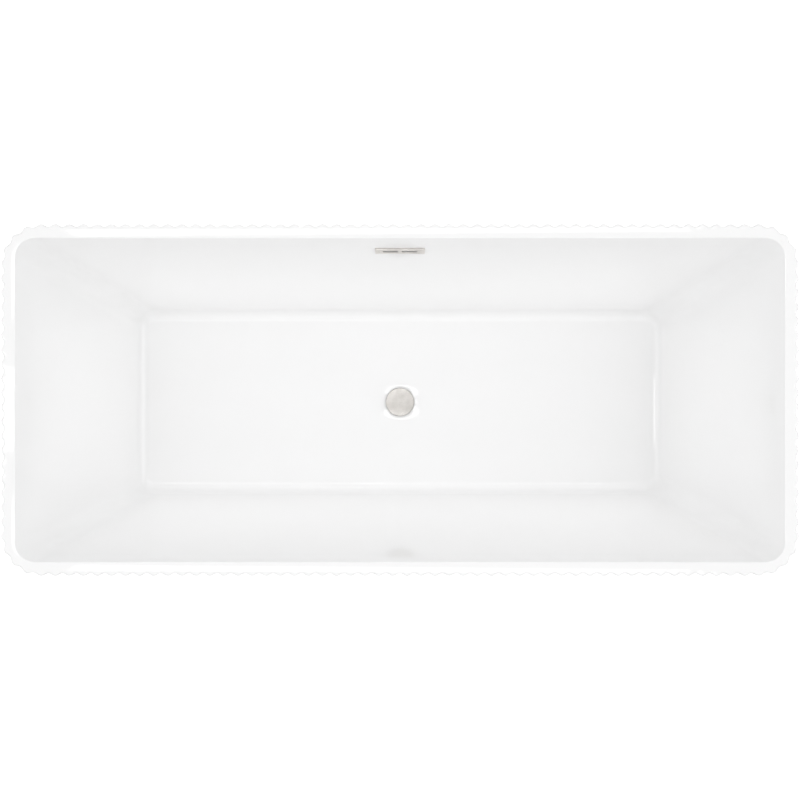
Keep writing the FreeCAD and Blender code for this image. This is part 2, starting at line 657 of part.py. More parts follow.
def foot_stud(x, y):
    """Threaded stud of a foot, with the hexagon that a spanner turns."""
    bottom = PAD_HEIGHT - SOCKET_DEPTH + COLLAR_GAP
    collar_z = PAD_HEIGHT + COLLAR_GAP
    collar = hexagon(2 * (STUD_RADIUS + COLLAR_WALL), collar_z, collar_z + COLLAR_HEIGHT, x, y)
    return fuse_all([disc(STUD_RADIUS, bottom, CROSS_BOTTOM + STUD_ABOVE_NUT, x, y), collar])


def foot_pad(x, y):
    """Rubber-faced pad that a foot's stud turns in."""
    base = disc(PAD_RADIUS, 0, PAD_EDGE, x, y)
    axis = Vector(0, 0, 1)
    cone = Part.makeCone(PAD_RADIUS, PAD_TOP_RADIUS, PAD_HEIGHT - PAD_EDGE, Vector(x, y, PAD_EDGE), axis)
    socket = disc(STUD_RADIUS + SOCKET_CLEARANCE, PAD_HEIGHT - SOCKET_DEPTH, PAD_HEIGHT, x, y)
    return fuse_all([base, cone]).cut(socket)


def bracket_side_screw_hole(x, side):
    """Hole along Y for the screw that holds a bracket to a batten."""
    radius = BRACKET_SCREW_RADIUS + THREAD_CLEARANCE
    length = BRACKET_THICKNESS + BRACKET_SCREW_DEPTH + 1
    start = Vector(x, side * (BATTEN_FACE_Y - BRACKET_THICKNESS), BRACKET_SCREW_Z)
    return Part.makeCylinder(radius, length, start, Vector(0, side, 0))


def skirt_bracket(x, side):
    """Steel angle from a cross member down to the batten behind the skirt."""
    inner_y = CROSS_LENGTH / 2 - BRACKET_LAP
    half = BRACKET_WIDTH / 2
    ledge = box(
        x - half, x + half, inner_y, BATTEN_FACE_Y, CROSS_BOTTOM - BRACKET_THICKNESS, CROSS_BOTTOM
    )
    leg = box(
        x - half, x + half, BATTEN_FACE_Y - BRACKET_THICKNESS, BATTEN_FACE_Y, BATTEN_Z, CROSS_BOTTOM
    )
    bracket = fuse_all([ledge, leg])
    radius = BRACKET_SCREW_RADIUS + THREAD_CLEARANCE
    up_hole = disc(radius, CROSS_BOTTOM - BRACKET_THICKNESS, CROSS_BOTTOM, x, BRACKET_SCREW_Y)
    bracket = cut_all(bracket, [up_hole, bracket_side_screw_hole(x, 1)])
    return bracket if side > 0 else bracket.mirror(Vector(0, 0, 0), Vector(0, 1, 0))


def bracket_screws(x, side):
    """The screw up into the cross member and the one out into the batten."""

    def screw(length):
        head = disc(BRACKET_SCREW_HEAD, -BRACKET_SCREW_HEAD_HEIGHT, 0)
        return fuse_all([head, disc(BRACKET_SCREW_RADIUS, 0, length)])

    upward = screw(BRACKET_THICKNESS + BRACKET_SCREW_RISE)
    upward.translate(Vector(x, side * BRACKET_SCREW_Y, CROSS_BOTTOM - BRACKET_THICKNESS))
    outward = screw(BRACKET_THICKNESS + BRACKET_SCREW_DEPTH)
    turn = FreeCAD.Rotation(Vector(0, 0, 1), Vector(0, side, 0))
    place = Vector(x, side * (BATTEN_FACE_Y - BRACKET_THICKNESS), BRACKET_SCREW_Z)
    outward.Placement = FreeCAD.Placement(place, turn)
    return [upward, outward]


def waste_flange():
    """Brass waste: a flange in the recess, a threaded tube and the spider that holds the cartridge."""
    flange = disc(FLANGE_RADIUS, DRAIN_Z - FLANGE_THICKNESS, DRAIN_Z)
    body = fuse_all([flange, disc(FLANGE_TUBE_RADIUS, TUBE_END_Z, DRAIN_Z)])
    body = body.cut(disc(WASTE_BORE, TUBE_END_Z, DRAIN_Z))
    bottom = SPIDER_TOP - SPIDER_HEIGHT
    arms = [disc(SPIDER_HUB_RADIUS, bottom, SPIDER_TOP)]
    for step in range(3):
        arm = box(0, WASTE_BORE + 1, -SPIDER_ARM / 2, SPIDER_ARM / 2, bottom, SPIDER_TOP)
        arm.rotate(Vector(0, 0, 0), Vector(0, 0, 1), 120 * step)
        arms.append(arm)
    bore = disc(CARTRIDGE_RADIUS + THREAD_CLEARANCE, bottom, SPIDER_TOP)
    return fuse_all([body, fuse_all(arms).cut(bore)])


def waste_locknut():
    """Nut under the board's hole that clamps the waste to the basin."""
    top = BOARD_TOP - LOWER_GASKET
    flats = 2 * (FLANGE_TUBE_RADIUS + WASTE_NUT_WALL)
    nut = hexagon(flats, top - WASTE_NUT_HEIGHT, top)
    return nut.cut(disc(FLANGE_TUBE_RADIUS + THREAD_CLEARANCE, top - WASTE_NUT_HEIGHT, top))


def click_cartridge():
    """Cartridge in the spider: a closed bottom, a bore for the piston and a guide for the stem."""
    bottom = CARTRIDGE_Z - CARTRIDGE_LENGTH
    body = disc(CARTRIDGE_RADIUS, bottom, CARTRIDGE_Z)
    bore = disc(CARTRIDGE_BORE, bottom + CARTRIDGE_END, CARTRIDGE_Z - GUIDE_HEIGHT)
    guide = disc(STEM_RADIUS + STEM_CLEARANCE, CARTRIDGE_Z - GUIDE_HEIGHT, CARTRIDGE_Z)
    return cut_all(body, [bore.fuse(guide)])


def plug_spring():
    """Helical spring under the piston."""
    pitch = (SPRING_LENGTH - 2 * SPRING_WIRE) / SPRING_TURNS
    helix = Part.makeHelix(pitch, SPRING_LENGTH - 2 * SPRING_WIRE, SPRING_RADIUS)
    helix.translate(Vector(0, 0, SPRING_Z + SPRING_WIRE))
    section = Part.Circle(Vector(SPRING_RADIUS, 0, SPRING_Z + SPRING_WIRE), Vector(0, 1, 0), SPRING_WIRE)
    return Part.Wire(helix.Edges).makePipeShell([Part.Wire([section.toShape()])], True, True)


def plug_stem():
    """Stem of the plug with the piston that stands on the spring."""
    piston = disc(CARTRIDGE_BORE - PISTON_CLEARANCE, PISTON_Z + COLLAR_GAP, PISTON_Z + PISTON_HEIGHT)
    stem = disc(STEM_RADIUS, PISTON_Z + PISTON_HEIGHT, CARTRIDGE_Z + STEM_ABOVE_CARTRIDGE)
    return fuse_all([piston, stem])


def plug_cap():
    """Flat round cap of the plug, with the boss that takes the stem."""
    cap = disc(CAP_RADIUS, CAP_Z, CAP_Z + CAP_THICKNESS)
    cap = cap.makeFillet(CAP_EDGE, edges_at(cap, CAP_Z + CAP_THICKNESS))
    boss = disc(CAP_BOSS_RADIUS, CAP_Z - CAP_BOSS_HEIGHT, CAP_Z)
    socket_top = CARTRIDGE_Z + STEM_ABOVE_CARTRIDGE + CAP_BOSS_FLOOR
    socket = disc(STEM_RADIUS + THREAD_CLEARANCE, CAP_Z - CAP_BOSS_HEIGHT, socket_top)
    return fuse_all([cap, boss]).cut(socket)


def waste_shoe():
    """Waste body under the tub: a socket, a chamber, a spout below and the overflow's side inlet."""
    body = disc(SHOE_RADIUS, SHOE_BOTTOM, SHOE_TOP)
    spout = disc(SPOUT_RADIUS, SPOUT_Z, SHOE_BOTTOM)
    along = Vector(0, 1, 0)
    middle = Vector(0, 0, SIDE_INLET_Z)
    inlet = Part.makeCylinder(SPIGOT_RADIUS, SIDE_INLET_END, middle, along)
    socket = disc(SHOE_SOCKET_RADIUS, SHOE_TOP - SHOE_SOCKET_DEPTH, SHOE_TOP)
    chamber = disc(WASTE_BORE, SHOE_BOTTOM + SHOE_FLOOR, SHOE_TOP - SHOE_SOCKET_DEPTH)
    outlet = disc(SPOUT_BORE, SPOUT_Z, SHOE_BOTTOM + SHOE_FLOOR)
    side_bore = Part.makeCylinder(SPIGOT_BORE, SIDE_INLET_END, middle, along)
    return cut_all(fuse_all([body, spout, inlet]), [fuse_all([socket, chamber, outlet, side_bore])])


def tail_nut():
    """Union nut that squeezes the tail's washer against the spout."""
    bottom = SPOUT_Z - TAIL_WASHER - TAIL_NUT_FLOOR
    nut = disc(TAIL_NUT_RADIUS, bottom, SPOUT_Z + TAIL_NUT_LAP)
    thread = disc(SPOUT_RADIUS + THREAD_CLEARANCE, bottom + TAIL_NUT_FLOOR, SPOUT_Z + TAIL_NUT_LAP)
    return cut_all(nut, [thread.fuse(disc(TAIL_RADIUS, bottom, SPOUT_Z))])


def tailpiece():
    """Straight tail that goes down into the waste pipe in the floor."""
    exposed_top = SPOUT_Z - TAIL_WASHER - TAIL_NUT_FLOOR
    lower = disc(TAIL_RADIUS, TAIL_GAP, exposed_top)
    upper = disc(TAIL_UPPER_RADIUS, exposed_top, SPOUT_Z + TAIL_IN_SPOUT)
    return fuse_all([lower, upper]).cut(disc(TAIL_BORE, TAIL_GAP, SPOUT_Z + TAIL_IN_SPOUT))


def wall_plate(length, height, corner, y0, y1):
    """Flat plate in the overflow's own frame, from y0 to y1 through the wall."""
    plate = rounded_block(length / 2, height / 2, corner, -y1, -y0)
    plate.rotate(Vector(0, 0, 0), Vector(1, 0, 0), 90)
    return plate


def wall_bores(radius, y0, y1):
    """The overflow's two screw holes as solids, in its own frame."""
    places = [Vector(side * OVERFLOW_SCREW_SPACING / 2, y0, 0) for side in (-1, 1)]
    return [Part.makeCylinder(radius, y1 - y0, place, Vector(0, 1, 0)) for place in places]


def on_wall(shape):
    """A shape moved from the overflow's own frame to its place on the basin's back wall."""
    shape.Placement = OVERFLOW_FRAME.multiply(shape.Placement)
    return shape


def overflow_cover():
    """Cover of the overflow: a shallow tray with a long slot that a short web divides."""
    tray = wall_plate(COVER_LENGTH, COVER_HEIGHT, 2.0, -COVER_DEPTH, -COVER_GAP)
    front = [edge for edge in tray.Edges if edge.BoundBox.YMax < -COVER_DEPTH + 0.01]
    tray = tray.makeFillet(COVER_EDGE, front)
    inside = wall_plate(
        COVER_LENGTH - 2 * COVER_WALL, COVER_HEIGHT - 2 * COVER_WALL, 0.8, -COVER_DEPTH + COVER_WALL, 0
    )
    tools = [inside]
    slot = (SLOT_LENGTH - SLOT_WEB) / 2
    for side in (-1, 1):
        half = wall_plate(slot, SLOT_HEIGHT, 1.0, -COVER_DEPTH - 1, -COVER_DEPTH + COVER_WALL)
        half.translate(Vector(side * (SLOT_WEB + slot) / 2, 0, 0))
        tools.append(half)
    return on_wall(cut_all(tray, tools))


def overflow_plate():
    """Plate behind the cover, screwed to the overflow's body, which the cover grips."""
    front = -FRONT_GASKET - PLATE_THICKNESS
    length = COVER_LENGTH - 2 * COVER_WALL
    height = COVER_HEIGHT - 2 * COVER_WALL
    plate = wall_plate(length, height, 0.8, front, -FRONT_GASKET)
    tools = [wall_plate(SLOT_LENGTH, SLOT_HEIGHT + 2, 1.0, front, -FRONT_GASKET)]
    tools += [countersink(place, SCREW_CLEARANCE) for place in overflow_screw_places()]
    tools += wall_bores(OVERFLOW_SCREW_RADIUS + SCREW_CLEARANCE, front, 0)
    return on_wall(cut_all(plate, tools))


def overflow_screw_places():
    """Where the overflow's screws start, in its own frame: the front of the plate."""
    front = -FRONT_GASKET - PLATE_THICKNESS
    return [Vector(side * OVERFLOW_SCREW_SPACING / 2, front, 0) for side in (-1, 1)]


def countersink(place, clearance):
    """Countersunk head of an overflow screw, grown by a clearance."""
    depth = OVERFLOW_SCREW_HEAD - OVERFLOW_SCREW_RADIUS
    head = OVERFLOW_SCREW_HEAD + clearance
    return Part.makeCone(head, OVERFLOW_SCREW_RADIUS + clearance, depth, place, Vector(0, 1, 0))


def overflow_gasket(y0, y1):
    """Flat gasket of the overflow, with a window and two screw holes."""
    length = COVER_LENGTH - 2 * COVER_WALL
    gasket = wall_plate(length, COVER_HEIGHT - 2 * COVER_WALL, 0.8, y0, y1)
    tools = [wall_plate(WINDOW_LENGTH, WINDOW_HEIGHT, 2.0, y0, y1)]
    tools += wall_bores(OVERFLOW_SCREW_RADIUS + SCREW_CLEARANCE, y0, y1)
    return on_wall(cut_all(gasket, tools))


def overflow_body():
    """Box behind the wall that gathers the overflow's water, with a spigot straight down."""
    back = BODY_FRONT + OVERFLOW_BODY_DEPTH
    shell = on_wall(wall_plate(COVER_LENGTH, COVER_HEIGHT, 3.0, BODY_FRONT, back))
    room = on_wall(wall_plate(WINDOW_LENGTH, WINDOW_HEIGHT, 2.0, BODY_FRONT, back - OVERFLOW_BODY_WALL))
    bores = wall_bores(OVERFLOW_SCREW_RADIUS + THREAD_CLEARANCE, BODY_FRONT, back - OVERFLOW_BODY_WALL)
    spigot = disc(SPIGOT_RADIUS, SPIGOT_END_Z, SPIGOT_TOP.z - WINDOW_HEIGHT / 2, 0, SPIGOT_Y)
    spigot_bore = disc(SPIGOT_BORE, SPIGOT_END_Z, SPIGOT_TOP.z, 0, SPIGOT_Y)
    keep = on_wall(wall_plate(4 * COVER_LENGTH, 4 * COVER_LENGTH, 3.0, BODY_FRONT, 4 * back))
    body = fuse_all([shell, spigot.common(keep)])
    trimmed_bore = spigot_bore.common(
        on_wall(wall_plate(COVER_LENGTH, 4 * COVER_LENGTH, 3.0, BODY_FRONT, back - OVERFLOW_BODY_WALL))
    )
    lower_bore = disc(SPIGOT_BORE, SPIGOT_END_Z, SPIGOT_TOP.z - COVER_HEIGHT / 2, 0, SPIGOT_Y)
    return cut_all(body, [room, trimmed_bore, lower_bore] + [on_wall(bore) for bore in bores])


def overflow_screw(place):
    """Countersunk screw through the plate and the wall into the overflow's body."""
    tip = BODY_FRONT + OVERFLOW_SCREW_DEPTH
    shank = Part.makeCylinder(OVERFLOW_SCREW_RADIUS, tip - place.y, place, Vector(0, 1, 0))
    return on_wall(fuse_all([countersink(place, 0.0), shank]))


def hose_solid(radius):
    """Round bar along the hose's route: out from the waste, up a quarter bend, up to the overflow."""
    start = Vector(0, HOSE_START_Y, SIDE_INLET_Z)
    bend_start = Vector(0, SPIGOT_Y - HOSE_BEND, SIDE_INLET_Z)
    bend_end = Vector(0, SPIGOT_Y, SIDE_INLET_Z + HOSE_BEND)
    centre = Vector(0, bend_start.y, bend_end.z)
    outward = Vector(0, HOSE_BEND / math.sqrt(2), -HOSE_BEND / math.sqrt(2))
    edges = [
        Part.LineSegment(start, bend_start).toShape(),
        Part.Arc(bend_start, centre + outward, bend_end).toShape(),
        Part.LineSegment(bend_end, Vector(0, SPIGOT_Y, HOSE_END_Z)).toShape(),
    ]
    section = Part.Wire([Part.Circle(start, Vector(0, 1, 0), radius).toShape()])
    return Part.Wire(edges).makePipeShell([section], True, True)


def hose_clip():
    """Worm-drive clip on the Z axis, centred on z = 0, with its screw housing on +X."""
    half = CLIP_WIDTH / 2
    band = disc(HOSE_RADIUS + CLIP_THICKNESS, -half, half)
    outer = HOSE_RADIUS + CLIP_HOUSING
    housing = box(HOSE_RADIUS, outer, -CLIP_HOUSING / 2, CLIP_HOUSING / 2, -half, half)
    screw_start = Vector(outer - CLIP_HOUSING / 2, -CLIP_HOUSING, 0)
    screw = Part.makeCylinder(CLIP_SCREW_RADIUS, 2 * CLIP_HOUSING, screw_start, Vector(0, 1, 0))
    return fuse_all([band, housing, screw]).cut(disc(HOSE_RADIUS, -half, half))


def hose_clips():
    """The clip at each end of the hose."""
    lower = hose_clip()
    level = FreeCAD.Rotation(Vector(0, 0, 1), Vector(0, 1, 0))
    lower.Placement = FreeCAD.Placement(Vector(0, HOSE_START_Y + HOSE_LAP / 2, SIDE_INLET_Z), level)
    upper = hose_clip()
    upper.translate(Vector(0, SPIGOT_Y, HOSE_END_Z - HOSE_LAP / 2))
    return {"lower": lower, "upper": upper}


def build_tub():
    """Basin, backing, skirt, battens and board."""
    save("basin_shell", basin_shell())
    save("basin_backing", basin_backing())
    save("outer_skirt", outer_skirt())
    save("base_board", base_board())
    for side, strip in skirt_battens().items():
        save(f"skirt_batten_{side}", strip)


def build_frame():
    """Steel frame with its caps, bolts, brackets and screws."""
    save("frame_rail_front", frame_rail(-1))
    save("frame_rail_back", frame_rail(1))
    for name, (x, length) in CROSS_MEMBERS.items():
        save(f"frame_cross_{name}", frame_cross(x, length))
    save("frame_end_caps", *frame_end_caps())
    save("frame_bolts", *[frame_bolt(x, y) for x, y in CROSSINGS])
    save("frame_nuts", *[frame_nut(x, y) for x, y in CROSSINGS])
    save("board_screws", *[board_screw(x, y) for x, y in board_screw_places()])
    screws = []
    for name, (x, side) in BRACKET_PLACES.items():
        save(f"skirt_bracket_{name}", skirt_bracket(x, side))
        screws += bracket_screws(x, side)
    save("bracket_screws", *screws)


def build_feet():
    """Five screw feet."""
    save("weld_nuts", *[weld_nut(x, y) for x, y in FOOT_PLACES.values()])
    save("foot_locknuts", *[foot_locknut(x, y) for x, y in FOOT_PLACES.values()])
    for name, (x, y) in FOOT_PLACES.items():
        save(f"foot_{name}_stud", foot_stud(x, y))
        save(f"foot_{name}_pad", foot_pad(x, y))


def build_waste():
    """Click waste, its body under the tub and its tail."""
    save("waste_flange", waste_flange())
    gasket_z = DRAIN_Z - FLANGE_THICKNESS
    save("waste_gasket_upper", tube(FLANGE_RADIUS, WASTE_GASKET_BORE, RECESS_Z, gasket_z))
    save(
        "waste_gasket_lower",
        tube(LOWER_GASKET_RADIUS, WASTE_GASKET_BORE, BOARD_TOP - LOWER_GASKET, BOARD_TOP),
    )
    save("waste_locknut", waste_locknut())
    save("click_cartridge", click_cartridge())
    save("plug_spring", plug_spring())
    save("plug_stem", plug_stem())
    save("plug_cap", plug_cap())
    save("plug_seal", tube(SEAL_RADIUS, CAP_BOSS_RADIUS, DRAIN_Z + SEAL_GAP, CAP_Z))
    save("waste_shoe", waste_shoe())
    save("tail_nut", tail_nut())
    save("tail_washer", tube(SPOUT_RADIUS, TAIL_UPPER_RADIUS, SPOUT_Z - TAIL_WASHER, SPOUT_Z))
    save("tailpiece", tailpiece())


def build_overflow():
    """Overflow, its hose and its clips."""
    save("overflow_cover", overflow_cover())
    save("overflow_plate", overflow_plate())
    save("overflow_gasket_front", overflow_gasket(-FRONT_GASKET, 0))
    save("overflow_gasket_back", overflow_gasket(WALL_OUTSIDE, BODY_FRONT))
    save("overflow_body", overflow_body())
    save("overflow_screws", *[overflow_screw(place) for place in overflow_screw_places()])
    save("overflow_hose", hose_solid(HOSE_RADIUS).cut(hose_solid(HOSE_BORE)))
    for end, clip in hose_clips().items():
        save(f"hose_clip_{end}", clip)


os.makedirs("parts", exist_ok=True)
build_tub()
build_frame()
build_feet()
build_waste()
build_overflow()
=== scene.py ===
"""Freestanding fluted bathtub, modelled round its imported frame."""

import logging
import math
from collections.abc import Callable, Iterable, Sequence
from dataclasses import dataclass, field
from enum import Enum

import bmesh
import bpy
from bpy.types import ID, Material, Mesh, Node, NodeSocket, NodeTree, Object, ShaderNodeTree
from mathutils import Matrix, Vector, noise


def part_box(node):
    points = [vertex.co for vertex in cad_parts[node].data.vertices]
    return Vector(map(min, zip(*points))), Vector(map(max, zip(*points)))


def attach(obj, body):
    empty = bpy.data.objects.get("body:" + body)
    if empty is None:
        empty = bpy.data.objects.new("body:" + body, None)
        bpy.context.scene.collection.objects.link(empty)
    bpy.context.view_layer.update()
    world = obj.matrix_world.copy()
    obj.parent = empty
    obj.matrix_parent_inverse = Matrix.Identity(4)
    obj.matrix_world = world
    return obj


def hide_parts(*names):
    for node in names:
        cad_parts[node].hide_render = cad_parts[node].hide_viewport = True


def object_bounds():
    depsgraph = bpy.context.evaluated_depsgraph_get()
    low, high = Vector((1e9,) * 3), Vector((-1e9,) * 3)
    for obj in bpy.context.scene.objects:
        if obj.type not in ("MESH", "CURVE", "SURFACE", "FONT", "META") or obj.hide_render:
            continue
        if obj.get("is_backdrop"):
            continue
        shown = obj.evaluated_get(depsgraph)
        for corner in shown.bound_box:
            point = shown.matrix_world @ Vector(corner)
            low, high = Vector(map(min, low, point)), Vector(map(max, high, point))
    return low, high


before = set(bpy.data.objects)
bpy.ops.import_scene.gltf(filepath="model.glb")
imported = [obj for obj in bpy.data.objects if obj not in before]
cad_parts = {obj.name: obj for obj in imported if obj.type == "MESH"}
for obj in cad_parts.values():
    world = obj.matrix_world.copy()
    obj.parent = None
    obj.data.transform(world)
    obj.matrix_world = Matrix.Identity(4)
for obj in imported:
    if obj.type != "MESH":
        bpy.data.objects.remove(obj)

log = logging.getLogger("bathtub")

UP = Vector((0.0, 0.0, 1.0))
WHOLE_TURN = 2.0 * math.pi

Pair = tuple[float, float]
Colour = tuple[float, ...]
Shape = Callable[[float, float, float], float]


class Slot(Enum):
    """Material slots of the record."""

    ACRYLIC = "acrylic"
    LAMINATE = "laminate"
    PLYWOOD = "plywood"
    FRAME_STEEL = "frame_steel"
    ZINC_STEEL = "zinc_steel"
    CLIP_STEEL = "clip_steel"
    BLACK_PLASTIC = "black_plastic"
    NICKEL = "nickel"
    WASTE_BRASS = "waste_brass"
    WHITE_PLASTIC = "white_plastic"
    HOSE_GREY = "hose_grey"
    SEAL_RUBBER = "seal_rubber"


class Axis(Enum):
    """Axis that a grain or a brushing runs along."""

    X = (0.04, 1.0, 1.0)
    Y = (1.0, 0.04, 1.0)


# ---- Meshes


def slerp(first: Vector, last: Vector, share: float) -> Vector:
    """Direction part of the way round from one unit vector to another.

    Args:
        first: Unit vector at share 0.
        last: Unit vector at share 1.
        share: How far round, from 0 to 1.

    Returns:
        The unit vector between them.
    """
    angle = first.angle(last)
    if angle < 1e-6:
        return first.copy()
    return (first * math.sin((1 - share) * angle) + last * math.sin(share * angle)) / math.sin(angle)


def soften(
    profile: Sequence[Pair], radius: float, closed: bool = False, steps: int = 4
) -> list[Pair]:
    """Rounds the corners of a flat outline.

    Args:
        profile: The outline's corners.
        radius: Largest radius of a corner; short sides get less.
        closed: Whether the last corner joins the first.
        steps: Points in each rounded corner, less one.

    Returns:
        The outline with an arc at each corner.
    """
    corners = [Vector(point) for point in profile]
    count = len(corners)
    softened: list[Pair] = []
    for index, corner in enumerate(corners):
        if not closed and index in (0, count - 1):
            softened.append(tuple(corner))
            continue
        to_last = corners[index - 1] - corner
        to_next = corners[(index + 1) % count] - corner
        angle = to_last.angle(to_next, math.pi)
        if angle > math.radians(176) or angle < math.radians(4):
            softened.append(tuple(corner))
            continue
        reach = min(radius / math.tan(angle / 2), 0.45 * to_last.length, 0.45 * to_next.length)
        bisector = (to_last.normalized() + to_next.normalized()).normalized()
        arc_radius = reach * math.tan(angle / 2)
        centre = corner + bisector * (arc_radius / math.sin(angle / 2))
        start = corner + to_last.normalized() * reach - centre
        end = corner + to_next.normalized() * reach - centre
        for step in range(steps + 1):
            share = step / steps
            turn = start.angle(end)
            mixed = start * math.sin((1 - share) * turn) + end * math.sin(share * turn)
            softened.append(tuple(centre + mixed / math.sin(turn)))
    return softened


def quarter(radius: float, steps: int) -> list[Pair]:
    """Quarter round, as its distances from two square faces, from the second's end to the first's."""
    turns = [step / steps * math.pi / 2 for step in range(steps + 1)]
    return [(radius * (1 - math.cos(turn)), radius * (1 - math.sin(turn))) for turn in turns]


def polar(radius: float, angle: float, height: float) -> Vector:
    """Point at a radius, an angle and a height."""
    return Vector((radius * math.cos(angle), radius * math.sin(angle), height))


def divided(section: Sequence[Pair], parts: Callable[[Pair, Pair], int]) -> list[Pair]:
    """Closed section with some of its sides divided.

    Args:
        section: The section's corners.
        parts: Gives the number of parts of a side from its ends.

    Returns:
        The section's points.
    """
    points = []
    for first, last in zip(section, section[1:] + section[:1]):
        count = parts(first, last)
        (r0, z0), (r1, z1) = first, last
        points += [(r0 + (r1 - r0) * k / count, z0 + (z1 - z0) * k / count) for k in range(count)]
    return points


def new_object(name: str, data: ID) -> Object:
    """Puts data into the scene.

    Args:
        name: Name of the new object.
        data: Its mesh, curve, light or camera.

    Returns:
        The new object.
    """
    placed = bpy.data.objects.new(name, data)
    bpy.context.scene.collection.objects.link(placed)
    return placed


def shade(mesh: Mesh, sharp: float) -> None:
    """Shades a mesh smooth, but for edges over an angle in degrees."""
    mesh.polygons.foreach_set("use_smooth", [True] * len(mesh.polygons))
    mesh.set_sharp_from_angle(angle=math.radians(sharp))


@dataclass
class Skin:
    """Points and faces of one piece while it is being built."""

    points: list[Vector] = field(default_factory=list)
    faces: list[tuple[int, ...]] = field(default_factory=list)

    def ring(self, points: Iterable[Vector]) -> list[int]:
        """Adds points.

        Args:
            points: Places of the new points.

        Returns:
            The new points' numbers.
        """
        start = len(self.points)
        self.points.extend(points)
        return list(range(start, len(self.points)))

    def bridge(self, low: Sequence[int], high: Sequence[int], closed: bool = True) -> None:
        """Joins two rings of the same length with quads.

        Args:
            low: First ring.
            high: Second ring, to the left of the first as the faces are seen from outside.
            closed: Whether the rings close on themselves.
        """
        count = len(low)
        for index in range(count if closed else count - 1):
            after = (index + 1) % count
            self.faces.append((low[index], low[after], high[after], high[index]))

    def bridge_coarser(self, fine: Sequence[int], coarse: Sequence[int]) -> None:
        """Joins a fine ring to one with a whole fraction of its points.

        Args:
            fine: The ring with more points.
            coarse: The ring with fewer.
        """
        ratio = len(fine) // len(coarse)
        for index, corner in enumerate(coarse):
            chain = [fine[(index * ratio + step) % len(fine)] for step in range(ratio + 1)]
            self.faces.append((*chain, coarse[(index + 1) % len(coarse)], corner))

    def rings(self, rings: Sequence[Sequence[Vector]], closed: bool = True) -> list[list[int]]:
        """Adds several rings and joins each to the next.

        Args:
            rings: The rings' points, in order.
            closed: Whether each ring closes on itself.

        Returns:
            The numbers of every ring's points.
        """
        numbers = [self.ring(points) for points in rings]
        for low, high in zip(numbers, numbers[1:]):
            self.bridge(low, high, closed)
        return numbers

    def fan(self, ring: Sequence[int], centre: Vector) -> None:
        """Closes a ring with triangles.

        Args:
            ring: The ring's points.
            centre: Where the triangles meet.
        """
        middle = self.ring([centre])[0]
        for index, number in enumerate(ring):
            self.faces.append((number, ring[(index + 1) % len(ring)], middle))

    def moved(self, matrix: Matrix) -> "Skin":
        """A copy of the skin moved by a matrix."""
        return Skin([matrix @ point for point in self.points], list(self.faces))

    def at(self, place: Vector) -> "Skin":
        """A copy of the skin moved to a place."""
        return self.moved(Matrix.Translation(place))

    def join(self, other: "Skin") -> "Skin":
        """Adds another skin's points and faces to this one.

        Args:
            other: The skin to add.

        Returns:
            This skin.
        """
        start = len(self.points)
        self.points.extend(other.points)
        self.faces.extend(tuple(start + number for number in face) for face in other.faces)
        return self

    def piece(self, name: str, sharp: float = 38.0) -> Object:
        """Makes the mesh object.

        Args:
            name: Name of the piece.
            sharp: Angle in degrees over which an edge is shaded sharp.

        Returns:
            The new object, with its faces turned outwards.
        """
        mesh = bpy.data.meshes.new(name)
        mesh.from_pydata([tuple(point) for point in self.points], [], self.faces)
        tidy = bmesh.new()
        tidy.from_mesh(mesh)
        bmesh.ops.remove_doubles(tidy, verts=tidy.verts, dist=1e-7)
        bmesh.ops.recalc_face_normals(tidy, faces=tidy.faces)
        tidy.to_mesh(mesh)
        tidy.free()
        shade(mesh, sharp)
        return new_object(name, mesh)


def circle(radius: float, height: float, count: int) -> list[Vector]:
    """Level ring of points about the Z axis, anticlockwise from +X."""
    return [polar(radius, WHOLE_TURN * index / count, height) for index in range(count)]


def turned(
    profile: Sequence[Pair],
    closed: bool = False,
    count: int = 72,
    shape: Shape | None = None,
) -> Skin:
    """Body of revolution about the Z axis.

    Args:
        profile: Radius and height of each point of the section.
        closed: Whether the section closes on itself, as a ring's does.
        count: Points round the axis.
        shape: Gives the radius from the profile's radius, the height and the angle.

    Returns:
        The skin, with open ends closed at the axis.
    """
    skin = Skin()
    rings = []
    for radius, height in profile:
        points = []
        for index in range(count):
            angle = WHOLE_TURN * index / count
            points.append(polar(shape(radius, height, angle) if shape else radius, angle, height))
        rings.append(points)
    numbers = skin.rings(rings)
    if closed:
        skin.bridge(numbers[-1], numbers[0])
    else:
        skin.fan(numbers[0], Vector((0, 0, profile[0][1])))
        skin.fan(numbers[-1], Vector((0, 0, profile[-1][1])))
    return skin


def hexagon_radius(flats: float, angle: float) -> float:
    """Distance from a hexagon's middle to its side, from its width across flats and a direction."""
    sixth = math.pi / 3
    return flats / 2 / math.cos((angle % sixth) - sixth / 2)


